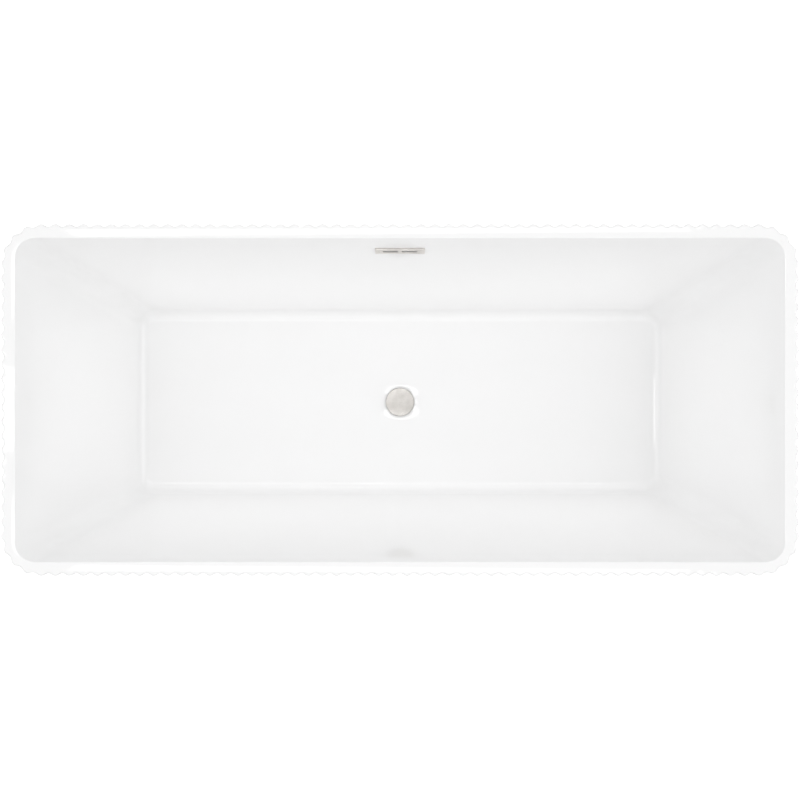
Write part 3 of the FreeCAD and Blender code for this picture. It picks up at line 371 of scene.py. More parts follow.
def nut(
    flats: float, bottom: float, top: float, bore: float, chamfers: tuple[bool, bool] = (True, True)
) -> Skin:
    """Hexagonal nut with chamfered corners and a bored middle.

    Args:
        flats: Width across its flats.
        bottom: Height of its lower face.
        top: Height of its upper face.
        bore: Radius of its hole, or 0 for a solid head.
        chamfers: Whether the lower and the upper corners are chamfered.

    Returns:
        The nut's skin, upright on the Z axis.
    """
    corner = flats / math.sqrt(3)
    face = flats / 2 * 0.95
    slope = math.tan(math.radians(30))
    depth = (corner - face) * slope
    steps = 6
    sides: list[Pair] = []
    for step in range(steps + 1):
        rise = depth * step / steps
        sides.append((face + rise / slope if chamfers[0] else corner, bottom + rise))
    for step in range(steps + 1):
        rise = depth * (1 - step / steps)
        sides.append((face + rise / slope if chamfers[1] else corner, top - rise))
    if bore:
        lead = min(0.12 * bore, 0.2 * (top - bottom))
        sides += [(bore + lead, top), (bore, top - lead), (bore, bottom + lead), (bore + lead, bottom)]

    def six_sided(radius: float, _height: float, angle: float) -> float:
        """Keeps the nut's outside within its hexagon."""
        return min(radius, hexagon_radius(flats, angle)) if radius >= face else radius

    return turned(sides, closed=bool(bore), count=96, shape=six_sided)


def threaded_rod(
    radius: float, bottom: float, top: float, pitch: float, depth: float, count: int
) -> Skin:
    """Rod with a helical thread and a chamfer at each end.

    Args:
        radius: Radius over the thread's crests.
        bottom: Height of its lower end.
        top: Height of its upper end.
        pitch: Rise of the thread in one turn.
        depth: Depth of the thread.
        count: Points round the axis.

    Returns:
        The rod's skin, upright on the Z axis.
    """
    rises = max(8, round((top - bottom) / pitch * 8))
    profile = [(radius, bottom + (top - bottom) * step / rises) for step in range(rises + 1)]

    def thread(reach: float, height: float, angle: float) -> float:
        """Radius of the thread at a height and an angle."""
        phase = (height / pitch - angle / WHOLE_TURN) % 1.0
        cut = depth * min(1.0, max(0.0, 1.6 * abs(2 * phase - 1) - 0.25))
        end = min(height - bottom, top - height)
        return max(0.0, min(reach - cut, reach - depth * 1.1 + end * 0.8))

    return turned(profile, count=count, shape=thread)


def cross_head(radius: float, height: float, shank: float, length: float) -> Skin:
    """Screw with a domed head, a cross recess and a coarse thread; it points up, with its seat at 0.

    Args:
        radius: Radius of the head.
        height: Height of the head, which hangs below 0.
        shank: Radius of the shank.
        length: Length of the shank.

    Returns:
        The screw's skin.
    """
    count = 48
    arm, web = radius * 0.55, radius * 0.13

    def cross(scale: float, level: float) -> list[Vector]:
        """Ring in the shape of the recess."""
        points = []
        for index in range(count):
            angle = WHOLE_TURN * index / count
            from_axis = abs((angle + math.pi / 4) % (math.pi / 2) - math.pi / 4)
            reach = min(arm, web / max(math.sin(from_axis), 1e-3)) * scale
            points.append(polar(reach, angle, level))
        return points

    dome = [(radius * math.sin(a), -height * math.cos(a) ** 0.8) for a in (1.1, 1.3, 1.45)]
    skin = Skin()
    rings = [cross(0.45, -height * 0.35), cross(0.9, -height * 0.55), cross(1.0, -height)]
    rings += [circle(radius * 0.72, -height, count)]
    rings += [circle(reach, level, count) for reach, level in dome]
    rings += [circle(radius, 0.0, count), circle(shank, 0.0, count)]
    numbers = skin.rings(rings)
    skin.fan(numbers[0], Vector((0, 0, -height * 0.35)))
    rod = threaded_rod(shank, 0.0, length * 0.86, shank * 0.9, shank * 0.22, count=24)
    point = [(shank * 0.8, length * 0.86), (shank * 0.45, length * 0.95), (shank * 0.05, length)]
    return skin.join(rod).join(turned(point, count=24))


def sheet(
    outline: Sequence[Pair],
    holes: Sequence[Sequence[Pair]],
    bottom: float,
    top: float,
    edge: float,
) -> Skin:
    """Flat plate with holes and softened edges.

    Args:
        outline: Outer edge of the plate.
        holes: Edges of its holes.
        bottom: Height of its lower face.
        top: Height of its upper face.
        edge: Radius of the softened edges.

    Returns:
        The plate's skin.
    """
    curve = bpy.data.curves.new("sheet", "CURVE")
    curve.dimensions = "2D"
    curve.fill_mode = "BOTH"
    curve.extrude = (top - bottom) / 2 - edge
    curve.bevel_depth = edge
    curve.bevel_resolution = 2
    curve.offset = -edge
    for loop in (outline, *holes):
        spline = curve.splines.new("POLY")
        spline.points.add(len(loop) - 1)
        for point, (x, y) in zip(spline.points, loop):
            point.co = (x, y, 0.0, 1.0)
        spline.use_cyclic_u = True
    holder = new_object("sheet", curve)
    graph = bpy.context.evaluated_depsgraph_get()
    mesh = bpy.data.meshes.new_from_object(holder.evaluated_get(graph))
    lift = Vector((0, 0, (bottom + top) / 2))
    skin = Skin([v.co + lift for v in mesh.vertices], [tuple(p.vertices) for p in mesh.polygons])
    bpy.data.objects.remove(holder)
    bpy.data.curves.remove(curve)
    bpy.data.meshes.remove(mesh)
    return skin


def rectangle(
    half_x: float, half_y: float, corner: float, middle: Pair = (0, 0)
) -> list[Pair]:
    """Outline of a rectangle with round corners.

    Args:
        half_x: Half its length.
        half_y: Half its width.
        corner: Radius of its corners.
        middle: Its centre.

    Returns:
        The outline's points, anticlockwise.
    """
    x, y = middle
    signs = ((1, 1), (-1, 1), (-1, -1), (1, -1))
    corners = [(x + sx * half_x, y + sy * half_y) for sx, sy in signs]
    return soften(corners, corner, closed=True, steps=6)


def round_hole(radius: float, x: float, y: float, count: int = 32) -> list[Pair]:
    """Outline of a round hole about a place."""
    turns = (WHOLE_TURN * index / count for index in range(count))
    return [(x + radius * math.cos(a), y + radius * math.sin(a)) for a in turns]


def swept(path: Sequence[Vector], radii: Sequence[float], side: Vector, count: int) -> Skin:
    """Round tube along a path that lies in one plane.

    Args:
        path: Points of its middle line.
        radii: Radius at each point.
        side: Unit vector square to the plane of the path.
        count: Points round the tube.

    Returns:
        The tube's skin, with closed ends.
    """
    skin = Skin()
    rings = []
    for index, (point, radius) in enumerate(zip(path, radii)):
        before = path[max(index - 1, 0)]
        after = path[min(index + 1, len(path) - 1)]
        outward = (after - before).normalized().cross(side)
        turns = (WHOLE_TURN * step / count for step in range(count))
        rings.append([point + (side * math.cos(a) + outward * math.sin(a)) * radius for a in turns])
    numbers = skin.rings(rings)
    skin.fan(numbers[0], path[0])
    skin.fan(numbers[-1], path[-1])
    return skin


def cut_out(piece: Object, cutter: Skin) -> None:
    """Cuts a shape out of a piece.

    Args:
        piece: The piece.
        cutter: The shape to cut away.
    """
    tool = cutter.piece("cutter")
    cut = piece.modifiers.new("cut", "BOOLEAN")
    cut.operation = "DIFFERENCE"
    cut.solver = "EXACT"
    cut.object = tool
    bpy.context.view_layer.update()
    made = bpy.data.meshes.new_from_object(piece.evaluated_get(bpy.context.evaluated_depsgraph_get()))
    piece.modifiers.clear()
    piece.data = made
    shade(made, 30)
    bpy.data.objects.remove(tool)


def ease(mesh: Mesh, width: float, angle: float = 40.0) -> None:
    """Eases the sharp edges of a mesh.

    Args:
        mesh: The mesh.
        width: Width of the eased edges.
        angle: Edges sharper than this many degrees are eased.
    """
    clean = bmesh.new()
    clean.from_mesh(mesh)
    bmesh.ops.remove_doubles(clean, verts=clean.verts, dist=1e-6)
    bmesh.ops.dissolve_limit(
        clean, angle_limit=math.radians(1.0), verts=clean.verts, edges=clean.edges,
        use_dissolve_boundaries=False,
    )
    limit = math.radians(angle)
    sharp = [e for e in clean.edges if len(e.link_faces) == 2 and e.calc_face_angle(0.0) > limit]
    bmesh.ops.bevel(
        clean, geom=sharp, offset=width, segments=2, profile=0.5, affect="EDGES", clamp_overlap=True
    )
    bmesh.ops.recalc_face_normals(clean, faces=clean.faces)
    clean.to_mesh(mesh)
    clean.free()
    shade(mesh, 38)


def eased_copy(node: str, name: str, width: float) -> Object:
    """A piece with a CAD node's shape whose sharp edges are eased.

    Args:
        node: The CAD node to follow.
        name: Name of the new piece.
        width: Width of the eased edges.

    Returns:
        The new object.
    """
    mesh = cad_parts[node].data.copy()
    mesh.name = name
    mesh.materials.clear()
    ease(mesh, width)
    return new_object(name, mesh)


# ---- Shader effects: groups that put out only values that change over the surface


@dataclass
class Graph:
    """A node tree with short ways to add and join nodes."""

    tree: NodeTree

    def node(self, kind: str, **settings: object) -> Node:
        """Adds a node.

        Args:
            kind: Blender's name of the node type.
            **settings: Attributes to set on it.

        Returns:
            The new node.
        """
        added = self.tree.nodes.new(kind)
        for name, value in settings.items():
            setattr(added, name, value)
        return added

    def join(self, source: NodeSocket, target: NodeSocket) -> None:
        """Links one socket to another."""
        self.tree.links.new(source, target)

    def feed(self, target: NodeSocket, value: object) -> None:
        """Links a socket to a node's socket, or sets it to a plain value."""
        if isinstance(value, NodeSocket):
            self.join(value, target)
        else:
            target.default_value = value

    def math(
        self, operation: str, first: object, second: object = 0.0, clamp: bool = False
    ) -> NodeSocket:
        """Adds a Math node.

        Args:
            operation: Name of the operation.
            first: First value or socket.
            second: Second value or socket.
            clamp: Whether to keep the result between 0 and 1.

        Returns:
            The result's socket.
        """
        added = self.node("ShaderNodeMath", operation=operation, use_clamp=clamp)
        self.feed(added.inputs[0], first)
        self.feed(added.inputs[1], second)
        return added.outputs[0]

    def mix(self, share: object, first: object, second: object) -> NodeSocket:
        """Adds a Mix node for colours.

        Args:
            share: Share of the second colour.
            first: First colour or socket.
            second: Second colour or socket.

        Returns:
            The mixed colour's socket.
        """
        added = self.node("ShaderNodeMix", data_type="RGBA")
        self.feed(added.inputs[0], share)
        self.feed(added.inputs[6], first)
        self.feed(added.inputs[7], second)
        return added.outputs[2]

    def stretch(
        self, value: object, low: object, high: object, to_low: object, to_high: object
    ) -> NodeSocket:
        """Adds a Map Range node that keeps its result within its target range.

        Args:
            value: Value or socket to map.
            low: Start of its range.
            high: End of its range.
            to_low: Result at the start.
            to_high: Result at the end.

        Returns:
            The result's socket.
        """
        added = self.node("ShaderNodeMapRange", clamp=True)
        for socket, given in zip(added.inputs, (value, low, high, to_low, to_high)):
            self.feed(socket, given)
        return added.outputs[0]

    def part(self, vector: NodeSocket, axis: str) -> NodeSocket:
        """One part of a vector.

        Args:
            vector: The vector's socket.
            axis: X, Y or Z.

        Returns:
            The part's socket.
        """
        split = self.node("ShaderNodeSeparateXYZ")
        self.join(vector, split.inputs[0])
        return split.outputs[axis]

    def place(self, scale: Sequence[float] | None = None) -> NodeSocket:
        """Position on the piece, in metres, scaled along each axis.

        Args:
            scale: Scale along each axis, or none.

        Returns:
            The position's socket.
        """
        position = self.node("ShaderNodeTexCoord").outputs["Object"]
        if scale is None:
            return position
        mapping = self.node("ShaderNodeMapping")
        self.join(position, mapping.inputs["Vector"])
        mapping.inputs["Scale"].default_value = scale
        return mapping.outputs["Vector"]

    def noise(
        self, scale: object, detail: float = 3.0, rough: float = 0.55, at: object = None
    ) -> NodeSocket:
        """Adds a Noise Texture.

        Args:
            scale: Scale value or socket.
            detail: Number of octaves.
            rough: Strength of the finer octaves.
            at: Position socket, or the piece's own position.

        Returns:
            The noise's value, from about 0.2 to 0.8.
        """
        added = self.node("ShaderNodeTexNoise")
        self.join(at if at is not None else self.place(), added.inputs["Vector"])
        self.feed(added.inputs["Scale"], scale)
        added.inputs["Detail"].default_value = detail
        added.inputs["Roughness"].default_value = rough
        return added.outputs["Fac"]


_groups: dict[str, ShaderNodeTree] = {}


def effect(
    name: str,
    inputs: dict[str, tuple[str, object]],
    outputs: dict[str, str],
    wire: Callable[[Graph, dict, dict], None],
) -> ShaderNodeTree:
    """Builds a shader node group once and hands it out.

    Args:
        name: Name of the group.
        inputs: Kind and default value of each named input.
        outputs: Kind of each named output.
        wire: Fills the group, from its inputs' sockets to its outputs' sockets.

    Returns:
        The node group.
    """
    if name in _groups:
        return _groups[name]
    group = bpy.data.node_groups.new(name, "ShaderNodeTree")
    for title, (kind, value) in inputs.items():
        socket = group.interface.new_socket(title, in_out="INPUT", socket_type=f"NodeSocket{kind}")
        socket.default_value = value
    for title, kind in outputs.items():
        group.interface.new_socket(title, in_out="OUTPUT", socket_type=f"NodeSocket{kind}")
    graph = Graph(group)
    entry = graph.node("NodeGroupInput")
    leave = graph.node("NodeGroupOutput")
    wire(graph, {title: entry.outputs[title] for title in inputs}, {t: leave.inputs[t] for t in outputs})
    _groups[name] = group
    return group


def wander() -> ShaderNodeTree:
    """Slow drift of colour and roughness over a surface, as a maker's batch or a cloth's wipe leaves."""

    def wire(g: Graph, given: dict, out: dict) -> None:
        """Fills the group."""
        slow = g.noise(given["Scale"], 3.0, 0.5)
        fine = g.noise(g.math("MULTIPLY", given["Scale"], 9.0), 2.0, 0.5)
        blend = g.math("ADD", g.math("MULTIPLY", slow, 0.75), g.math("MULTIPLY", fine, 0.25))
        share = g.stretch(blend, 0.36, 0.64, 0.0, 1.0)
        g.join(g.mix(share, given["Light"], given["Dark"]), out["Color"])
        g.join(g.stretch(blend, 0.36, 0.64, given["Rough Low"], given["Rough High"]), out["Roughness"])

    return effect(
        "wander",
        {
            "Scale": ("Float", 4.0),
            "Light": ("Color", (0.8, 0.8, 0.8, 1.0)),
            "Dark": ("Color", (0.7, 0.7, 0.7, 1.0)),
            "Rough Low": ("Float", 0.2),
            "Rough High": ("Float", 0.3),
        },
        {"Color": "Color", "Roughness": "Float"},
        wire,
    )


def worn_edge() -> ShaderNodeTree:
    """Mask of the corners and ridges that handling rubs first."""

    def wire(g: Graph, given: dict, out: dict) -> None:
        """Fills the group."""
        point = g.node("ShaderNodeNewGeometry").outputs["Pointiness"]
        ragged = g.math("MULTIPLY", g.math("SUBTRACT", g.noise(given["Scale"], 4.0), 0.5), 0.08)
        ridge = g.math("ADD", point, ragged)
        mask = g.stretch(ridge, given["Start"], g.math("ADD", given["Start"], 0.05), 0.0, 1.0)
        g.join(g.math("MULTIPLY", mask, given["Amount"], clamp=True), out["Mask"])

    return effect(
        "worn_edge",
        {"Scale": ("Float", 300.0), "Start": ("Float", 0.53), "Amount": ("Float", 0.6)},
        {"Mask": "Float"},
        wire,
    )


def settled_dust() -> ShaderNodeTree:
    """Mask of the dust that settles on faces that look up, thicker in patches."""

    def wire(g: Graph, given: dict, out: dict) -> None:
        """Fills the group."""
        normal = g.node("ShaderNodeNewGeometry").outputs["Normal"]
        up = g.stretch(g.part(normal, "Z"), 0.3, 0.95, 0.0, 1.0)
        patch = g.stretch(g.noise(given["Scale"], 6.0, 0.65), 0.38, 0.66, 0.25, 1.0)
        g.join(g.math("MULTIPLY", g.math("MULTIPLY", up, patch), given["Amount"], clamp=True), out["Mask"])

    return effect(
        "settled_dust",
        {"Scale": ("Float", 20.0), "Amount": ("Float", 0.3)},
        {"Mask": "Float"},
        wire,
    )


def skin_grain() -> ShaderNodeTree:
    """Fine height for a moulded, cast or sprayed skin: pebbles over a slow swell."""

    def wire(g: Graph, given: dict, out: dict) -> None:
        """Fills the group."""
        pebble = g.noise(given["Scale"], 2.0, 0.5)
        swell = g.noise(g.math("MULTIPLY", given["Scale"], 0.03), 1.0, 0.4)
        pebbles = g.math("MULTIPLY", pebble, given["Pebble"])
        g.join(g.math("ADD", pebbles, g.math("MULTIPLY", swell, given["Swell"])), out["Height"])

    return effect(
        "skin_grain",
        {"Scale": ("Float", 900.0), "Pebble": ("Float", 0.5), "Swell": ("Float", 0.5)},
        {"Height": "Float"},
        wire,
    )


@dataclass
class Paint:
    """A material under construction: its graph and its Principled shader."""

    name: str
    graph: Graph = field(init=False)
    shader: Node = field(init=False)
    material: Material = field(init=False)

    def __post_init__(self) -> None:
        """Starts the material with one Principled shader."""
        self.material = bpy.data.materials.new(self.name)
        self.material.use_nodes = True
        tree = self.material.node_tree
        self.graph = Graph(tree)
        self.shader = next(node for node in tree.nodes if node.type == "BSDF_PRINCIPLED")

    def use(self, group: ShaderNodeTree, **values: object) -> Node:
        """Places a node group in the material.

        Args:
            group: The group to place.
            **values: Its inputs, with underscores for spaces.

        Returns:
            The group's node.
        """
        placed = self.graph.node("ShaderNodeGroup", node_tree=group)
        for title, value in values.items():
            self.graph.feed(placed.inputs[title.replace("_", " ")], value)
        return placed

    def drift(self, scale: float, light: Colour, dark: Colour, rough: Pair) -> Node:
        """Places the slow drift between two colours and between two roughnesses."""
        low, high = rough
        return self.use(wander(), Scale=scale, Light=light, Dark=dark, Rough_Low=low, Rough_High=high)

    def mask(self, group: ShaderNodeTree, **values: object) -> NodeSocket:
        """Places a group that gives a mask, and returns the mask's socket."""
        return self.use(group, **values).outputs["Mask"]

    def set(self, **values: object) -> None:
        """Sets or links the shader's own inputs, named with underscores for spaces."""
        for title, value in values.items():
            self.graph.feed(self.shader.inputs[title.replace("_", " ")], value)

    def emboss(self, height: NodeSocket, depth: float) -> None:
        """Bends the shading by a height.

        Args:
            height: The height's socket, about 0 to 1.
            depth: Depth in metres of a height of 1.
        """
        bump = self.graph.node("ShaderNodeBump")
        bump.inputs["Strength"].default_value = 1.0
        bump.inputs["Distance"].default_value = depth
        self.graph.join(height, bump.inputs["Height"])
        self.graph.join(bump.outputs["Normal"], self.shader.inputs["Normal"])


def rgb(red: float, green: float, blue: float) -> Colour:
    """Colour with full alpha from its linear parts."""
    return (red, green, blue, 1.0)


DUST = rgb(0.45, 0.43, 0.40)


@dataclass(frozen=True)
class Finish:
    """Base of every finish, which has a name and a slot of the record."""

    def make(self) -> Material:
        """Builds the material."""
        paint = Paint(self.name)
        self.fill(paint, paint.graph)
        return paint.material


@dataclass(frozen=True)
class GlossAcrylic(Finish):
    """Cast acrylic sheet, vacuum-formed: clear gloss over white, with the faint swell of the forming."""

    name: str = "gloss_acrylic"
    light: Colour = rgb(0.982, 0.982, 0.982)
    dark: Colour = rgb(0.977, 0.977, 0.977)
    rough: Pair = (0.02, 0.04)
    swell: float = 0.00004
    slot: Slot = Slot.ACRYLIC

    def fill(self, paint: Paint, graph: Graph) -> None:
        """Fills the material."""
        drift = paint.drift(3.0, self.light, self.dark, self.rough)
        grain = paint.use(skin_grain(), Scale=700.0, Pebble=0.06, Swell=0.94)
        paint.set(Base_Color=drift.outputs["Color"], Roughness=drift.outputs["Roughness"])
        paint.set(IOR=1.49, Coat_Weight=0.25, Coat_Roughness=0.05)
        paint.emboss(grain.outputs["Height"], self.swell)


@dataclass(frozen=True)
class SatinNickel(Finish):
    """Nickel plate, brushed in fine lines and softly worn at its edges."""

    name: str = "satin_nickel"
    light: Colour = rgb(0.78, 0.755, 0.725)
    dark: Colour = rgb(0.68, 0.655, 0.625)
    along: Axis = Axis.X
    rough: Pair = (0.30, 0.42)
    slot: Slot = Slot.NICKEL

    def fill(self, paint: Paint, graph: Graph) -> None:
        """Fills the material."""
        lines = graph.noise(2600.0, 3.0, 0.6, at=graph.place(self.along.value))
        drift = paint.drift(40.0, self.light, self.dark, self.rough)
        wear = paint.mask(worn_edge(), Scale=500.0, Start=0.54, Amount=0.5)
        bright = graph.mix(wear, drift.outputs["Color"], rgb(0.84, 0.82, 0.79))
        streak = graph.stretch(lines, 0.3, 0.7, -0.05, 0.07)
        paint.set(Base_Color=bright, Roughness=graph.math("ADD", drift.outputs["Roughness"], streak))
        paint.set(Metallic=1.0, Anisotropic=0.3)
        paint.emboss(lines, 0.000012)


@dataclass(frozen=True)
class Metal(Finish):
    """Bare or plated metal with a drifting tint, fine scratches and bright worn edges."""

    name: str
    slot: Slot
    light: Colour
    dark: Colour
    worn: Colour
    rough: Pair = (0.28, 0.46)
    spangle: float = 60.0

    def fill(self, paint: Paint, graph: Graph) -> None:
        """Fills the material."""
        drift = paint.drift(self.spangle, self.light, self.dark, self.rough)
        cells = graph.node("ShaderNodeTexVoronoi", feature="F1")
        graph.join(graph.place(), cells.inputs["Vector"])
        cells.inputs["Scale"].default_value = self.spangle * 4
        facet = graph.stretch(cells.outputs["Color"], 0.0, 1.0, -0.05, 0.05)
        wear = paint.mask(worn_edge(), Scale=350.0, Start=0.535, Amount=0.7)
        dust = paint.mask(settled_dust(), Scale=25.0, Amount=0.16)
        colour = graph.mix(wear, drift.outputs["Color"], self.worn)
        colour = graph.mix(dust, colour, rgb(0.42, 0.40, 0.37))
        dull = graph.math("MULTIPLY", dust, 0.5)
        rough = graph.math("ADD", graph.math("ADD", drift.outputs["Roughness"], facet), dull)
        scratch = graph.noise(900.0, 4.0, 0.7, at=graph.place((1.0, 0.12, 0.5)))
        paint.set(Base_Color=colour, Roughness=rough, Metallic=graph.math("SUBTRACT", 1.0, dust))
        paint.emboss(scratch, 0.00002)


@dataclass(frozen=True)
class PowderCoat(Finish):
    """Baked powder paint on steel: orange-peel skin, rubbed to metal on a few edges."""

    name: str = "black_powder_coat"
    light: Colour = rgb(0.021, 0.021, 0.023)
    dark: Colour = rgb(0.014, 0.014, 0.015)
    slot: Slot = Slot.FRAME_STEEL

    def fill(self, paint: Paint, graph: Graph) -> None:
        """Fills the material."""
        drift = paint.drift(12.0, self.light, self.dark, (0.34, 0.46))
        wear = paint.mask(worn_edge(), Scale=180.0, Start=0.56, Amount=0.8)
        dust = paint.mask(settled_dust(), Scale=14.0, Amount=0.4)
        grain = paint.use(skin_grain(), Scale=850.0, Pebble=0.7, Swell=0.3)
        colour = graph.mix(wear, drift.outputs["Color"], rgb(0.36, 0.35, 0.34))
        colour = graph.mix(dust, colour, rgb(0.35, 0.33, 0.30))
        rough = graph.math("ADD", drift.outputs["Roughness"], graph.math("MULTIPLY", dust, 0.4))
        paint.set(Base_Color=colour, Roughness=rough, Metallic=wear)
        paint.emboss(grain.outputs["Height"], 0.00008)


@dataclass(frozen=True)
class MouldedPlastic(Finish):
    """Injection-moulded plastic with a fine spark-eroded grain."""

    name: str
    slot: Slot
    light: Colour
    dark: Colour
    rough: Pair = (0.42, 0.55)
    grain: float = 1500.0
    depth: float = 0.00003
    scuff: Colour = rgb(0.5, 0.5, 0.5)

    def fill(self, paint: Paint, graph: Graph) -> None:
        """Fills the material."""
        drift = paint.drift(18.0, self.light, self.dark, self.rough)
        wear = paint.mask(worn_edge(), Scale=260.0, Start=0.55, Amount=0.25)
        dust = paint.mask(settled_dust(), Scale=30.0, Amount=0.2)
        grain = paint.use(skin_grain(), Scale=self.grain, Pebble=0.8, Swell=0.2)
        colour = graph.mix(wear, drift.outputs["Color"], self.scuff)
        paint.set(Base_Color=graph.mix(dust, colour, DUST), Roughness=drift.outputs["Roughness"], IOR=1.47)
        paint.emboss(grain.outputs["Height"], self.depth)


@dataclass(frozen=True)
class SoftRubber(Finish):
    """Black rubber, matt, with a bloom of talc."""

    name: str = "soft_rubber"
    slot: Slot = Slot.SEAL_RUBBER

    def fill(self, paint: Paint, graph: Graph) -> None:
        """Fills the material."""
        drift = paint.drift(70.0, rgb(0.028, 0.028, 0.029), rgb(0.016, 0.016, 0.017), (0.62, 0.8))
        bloom = paint.mask(settled_dust(), Scale=60.0, Amount=0.25)
        grain = paint.use(skin_grain(), Scale=2200.0, Pebble=0.9, Swell=0.1)
        paint.set(Base_Color=graph.mix(bloom, drift.outputs["Color"], rgb(0.3, 0.3, 0.29)))
        paint.set(Roughness=drift.outputs["Roughness"])
        paint.emboss(grain.outputs["Height"], 0.00004)


@dataclass(frozen=True)
class Plywood(Finish):
    """Birch plywood or strip: long figure along the grain, with veneer lines on its edges."""

    name: str = "birch_ply"
    along: Axis = Axis.X
    veneer: float = 0.0015
    slot: Slot = Slot.PLYWOOD

    def fill(self, paint: Paint, graph: Graph) -> None:
        """Fills the material."""
        place = graph.place(self.along.value)
        figure = graph.noise(26.0, 6.0, 0.6, at=place)
        fibre = graph.noise(420.0, 4.0, 0.7, at=place)
        grain = graph.math("ADD", figure, graph.math("MULTIPLY", fibre, 0.35))
        share = graph.stretch(grain, 0.5, 0.85, 0.0, 1.0)
        face = graph.mix(share, rgb(0.56, 0.40, 0.235), rgb(0.40, 0.26, 0.135))
        height = graph.part(graph.place(), "Z")
        layer = graph.math("PINGPONG", graph.math("DIVIDE", height, self.veneer), 1.0)
        dark_layer = graph.stretch(layer, 0.35, 0.65, 0.0, 1.0)
        normal = graph.node("ShaderNodeNewGeometry").outputs["Normal"]
        flat = graph.math("ABSOLUTE", graph.part(normal, "Z"))
        edge = graph.stretch(flat, 0.3, 0.6, 1.0, 0.0)
        stripes = graph.mix(dark_layer, rgb(0.52, 0.37, 0.21), rgb(0.27, 0.165, 0.085))
        paint.set(Base_Color=graph.mix(graph.math("MULTIPLY", edge, 0.8), face, stripes))
        paint.set(Roughness=graph.stretch(fibre, 0.3, 0.7, 0.55, 0.75))
        paint.emboss(graph.math("ADD", fibre, graph.math("MULTIPLY", dark_layer, edge)), 0.00012)


@dataclass(frozen=True)
class StrandLaminate(Finish):
    """Chopped glass strand in resin, rolled on by hand: random fibres, drips and thin places."""

    name: str = "strand_laminate"
    slot: Slot = Slot.LAMINATE

    def fill(self, paint: Paint, graph: Graph) -> None:
        """Fills the material."""
        strands = None
        for scale in ((1.0, 0.08, 0.5), (0.09, 1.0, 0.6), (0.5, 0.3, 1.0)):
            layer = graph.noise(330.0, 2.0, 0.5, at=graph.place(scale))
            strands = layer if strands is None else graph.math("MAXIMUM", strands, layer)
        drift = paint.drift(9.0, rgb(0.66, 0.67, 0.58), rgb(0.55, 0.57, 0.48), (0.28, 0.5))
        pale = graph.stretch(strands, 0.52, 0.68, 0.0, 0.55)
        dust = paint.mask(settled_dust(), Scale=20.0, Amount=0.2)
        colour = graph.mix(pale, drift.outputs["Color"], rgb(0.80, 0.81, 0.76))
        paint.set(Base_Color=graph.mix(dust, colour, DUST))
        paint.set(Roughness=drift.outputs["Roughness"], Coat_Weight=0.3)
        paint.emboss(strands, 0.0006)


@dataclass
class Finishes:
    """Every finish of the tub, made once."""

    made: dict[str, Material] = field(default_factory=dict)

    def of(self, finish: Finish) -> Material:
        """The material of a finish.

        Args:
            finish: A finish.

        Returns:
            Its material, made the first time it is asked for.
        """
        if finish.name not in self.made:
            self.made[finish.name] = finish.make()
        return self.made[finish.name]


ACRYLIC = GlossAcrylic()
NICKEL = SatinNickel()
# Darker copy of the satin nickel for the plug cap: painted shade that tones the cap down under the bright
# overhead strips, not a different finish.
SHADED_CAP_NICKEL = SatinNickel("shaded_cap_nickel", rgb(0.63, 0.61, 0.585), rgb(0.52, 0.50, 0.475))
LAMINATE = StrandLaminate()
RUBBER = SoftRubber()
POWDER = PowderCoat()
PLY_LONG = Plywood()
PLY_CROSS = Plywood("birch_strip_cross", Axis.Y)
ZINC = Metal(
    "bright_zinc", Slot.ZINC_STEEL, rgb(0.60, 0.61, 0.62), rgb(0.46, 0.47, 0.48), rgb(0.80, 0.80, 0.80)
)
STAINLESS = Metal(
    "stainless_strip", Slot.CLIP_STEEL, rgb(0.62, 0.61, 0.60), rgb(0.54, 0.53, 0.52), rgb(0.8, 0.8, 0.8),
    (0.2, 0.32),
)
BRASS = Metal(
    "turned_brass", Slot.WASTE_BRASS, rgb(0.66, 0.49, 0.22), rgb(0.52, 0.37, 0.15), rgb(0.85, 0.68, 0.36),
    (0.24, 0.4),
)
SPRING_WIRE = Metal(
    "spring_wire", Slot.CLIP_STEEL, rgb(0.55, 0.55, 0.55), rgb(0.42, 0.42, 0.42), rgb(0.75, 0.75, 0.75),
    (0.18, 0.3),
)
BLACK_MOULDING = MouldedPlastic(
    "black_moulding", Slot.BLACK_PLASTIC, rgb(0.022, 0.022, 0.023), rgb(0.015, 0.015, 0.016),
    scuff=rgb(0.12, 0.12, 0.12),
)
WHITE_MOULDING = MouldedPlastic(
    "white_moulding", Slot.WHITE_PLASTIC, rgb(0.76, 0.76, 0.745), rgb(0.70, 0.70, 0.68),
    scuff=rgb(0.86, 0.86, 0.85),
)
HOSE_MOULDING = MouldedPlastic(
    "hose_moulding", Slot.HOSE_GREY, rgb(0.34, 0.35, 0.36), rgb(0.28, 0.29, 0.30), (0.34, 0.46), 1100.0
)


# ---- Places taken from the frame


@dataclass(frozen=True)
class Span:
    """Box of a CAD node, or of one of its solids."""

    low: Vector
    high: Vector

    @classmethod
    def of(cls, node: str) -> "Span":
        """The box of a CAD node at rest."""
        low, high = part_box(node)
        return cls(Vector(low), Vector(high))

    @property
    def middle(self) -> Vector:
        """Centre of the box."""
        return (self.low + self.high) / 2

    @property
    def half(self) -> Vector:
        """Half the box's sizes."""
        return (self.high - self.low) / 2

    @property
    def foot(self) -> Vector:
        """Centre of the box's lower face."""
        return Vector((self.middle.x, self.middle.y, self.low.z))

    @property
    def plan(self) -> Vector:
        """Centre of the box in plan, at height 0."""
        return Vector((self.middle.x, self.middle.y, 0.0))

    @property
    def flats(self) -> float:
        """Width across the flats of a hexagon that the box holds."""
        return 2 * min(self.half.x, self.half.y)


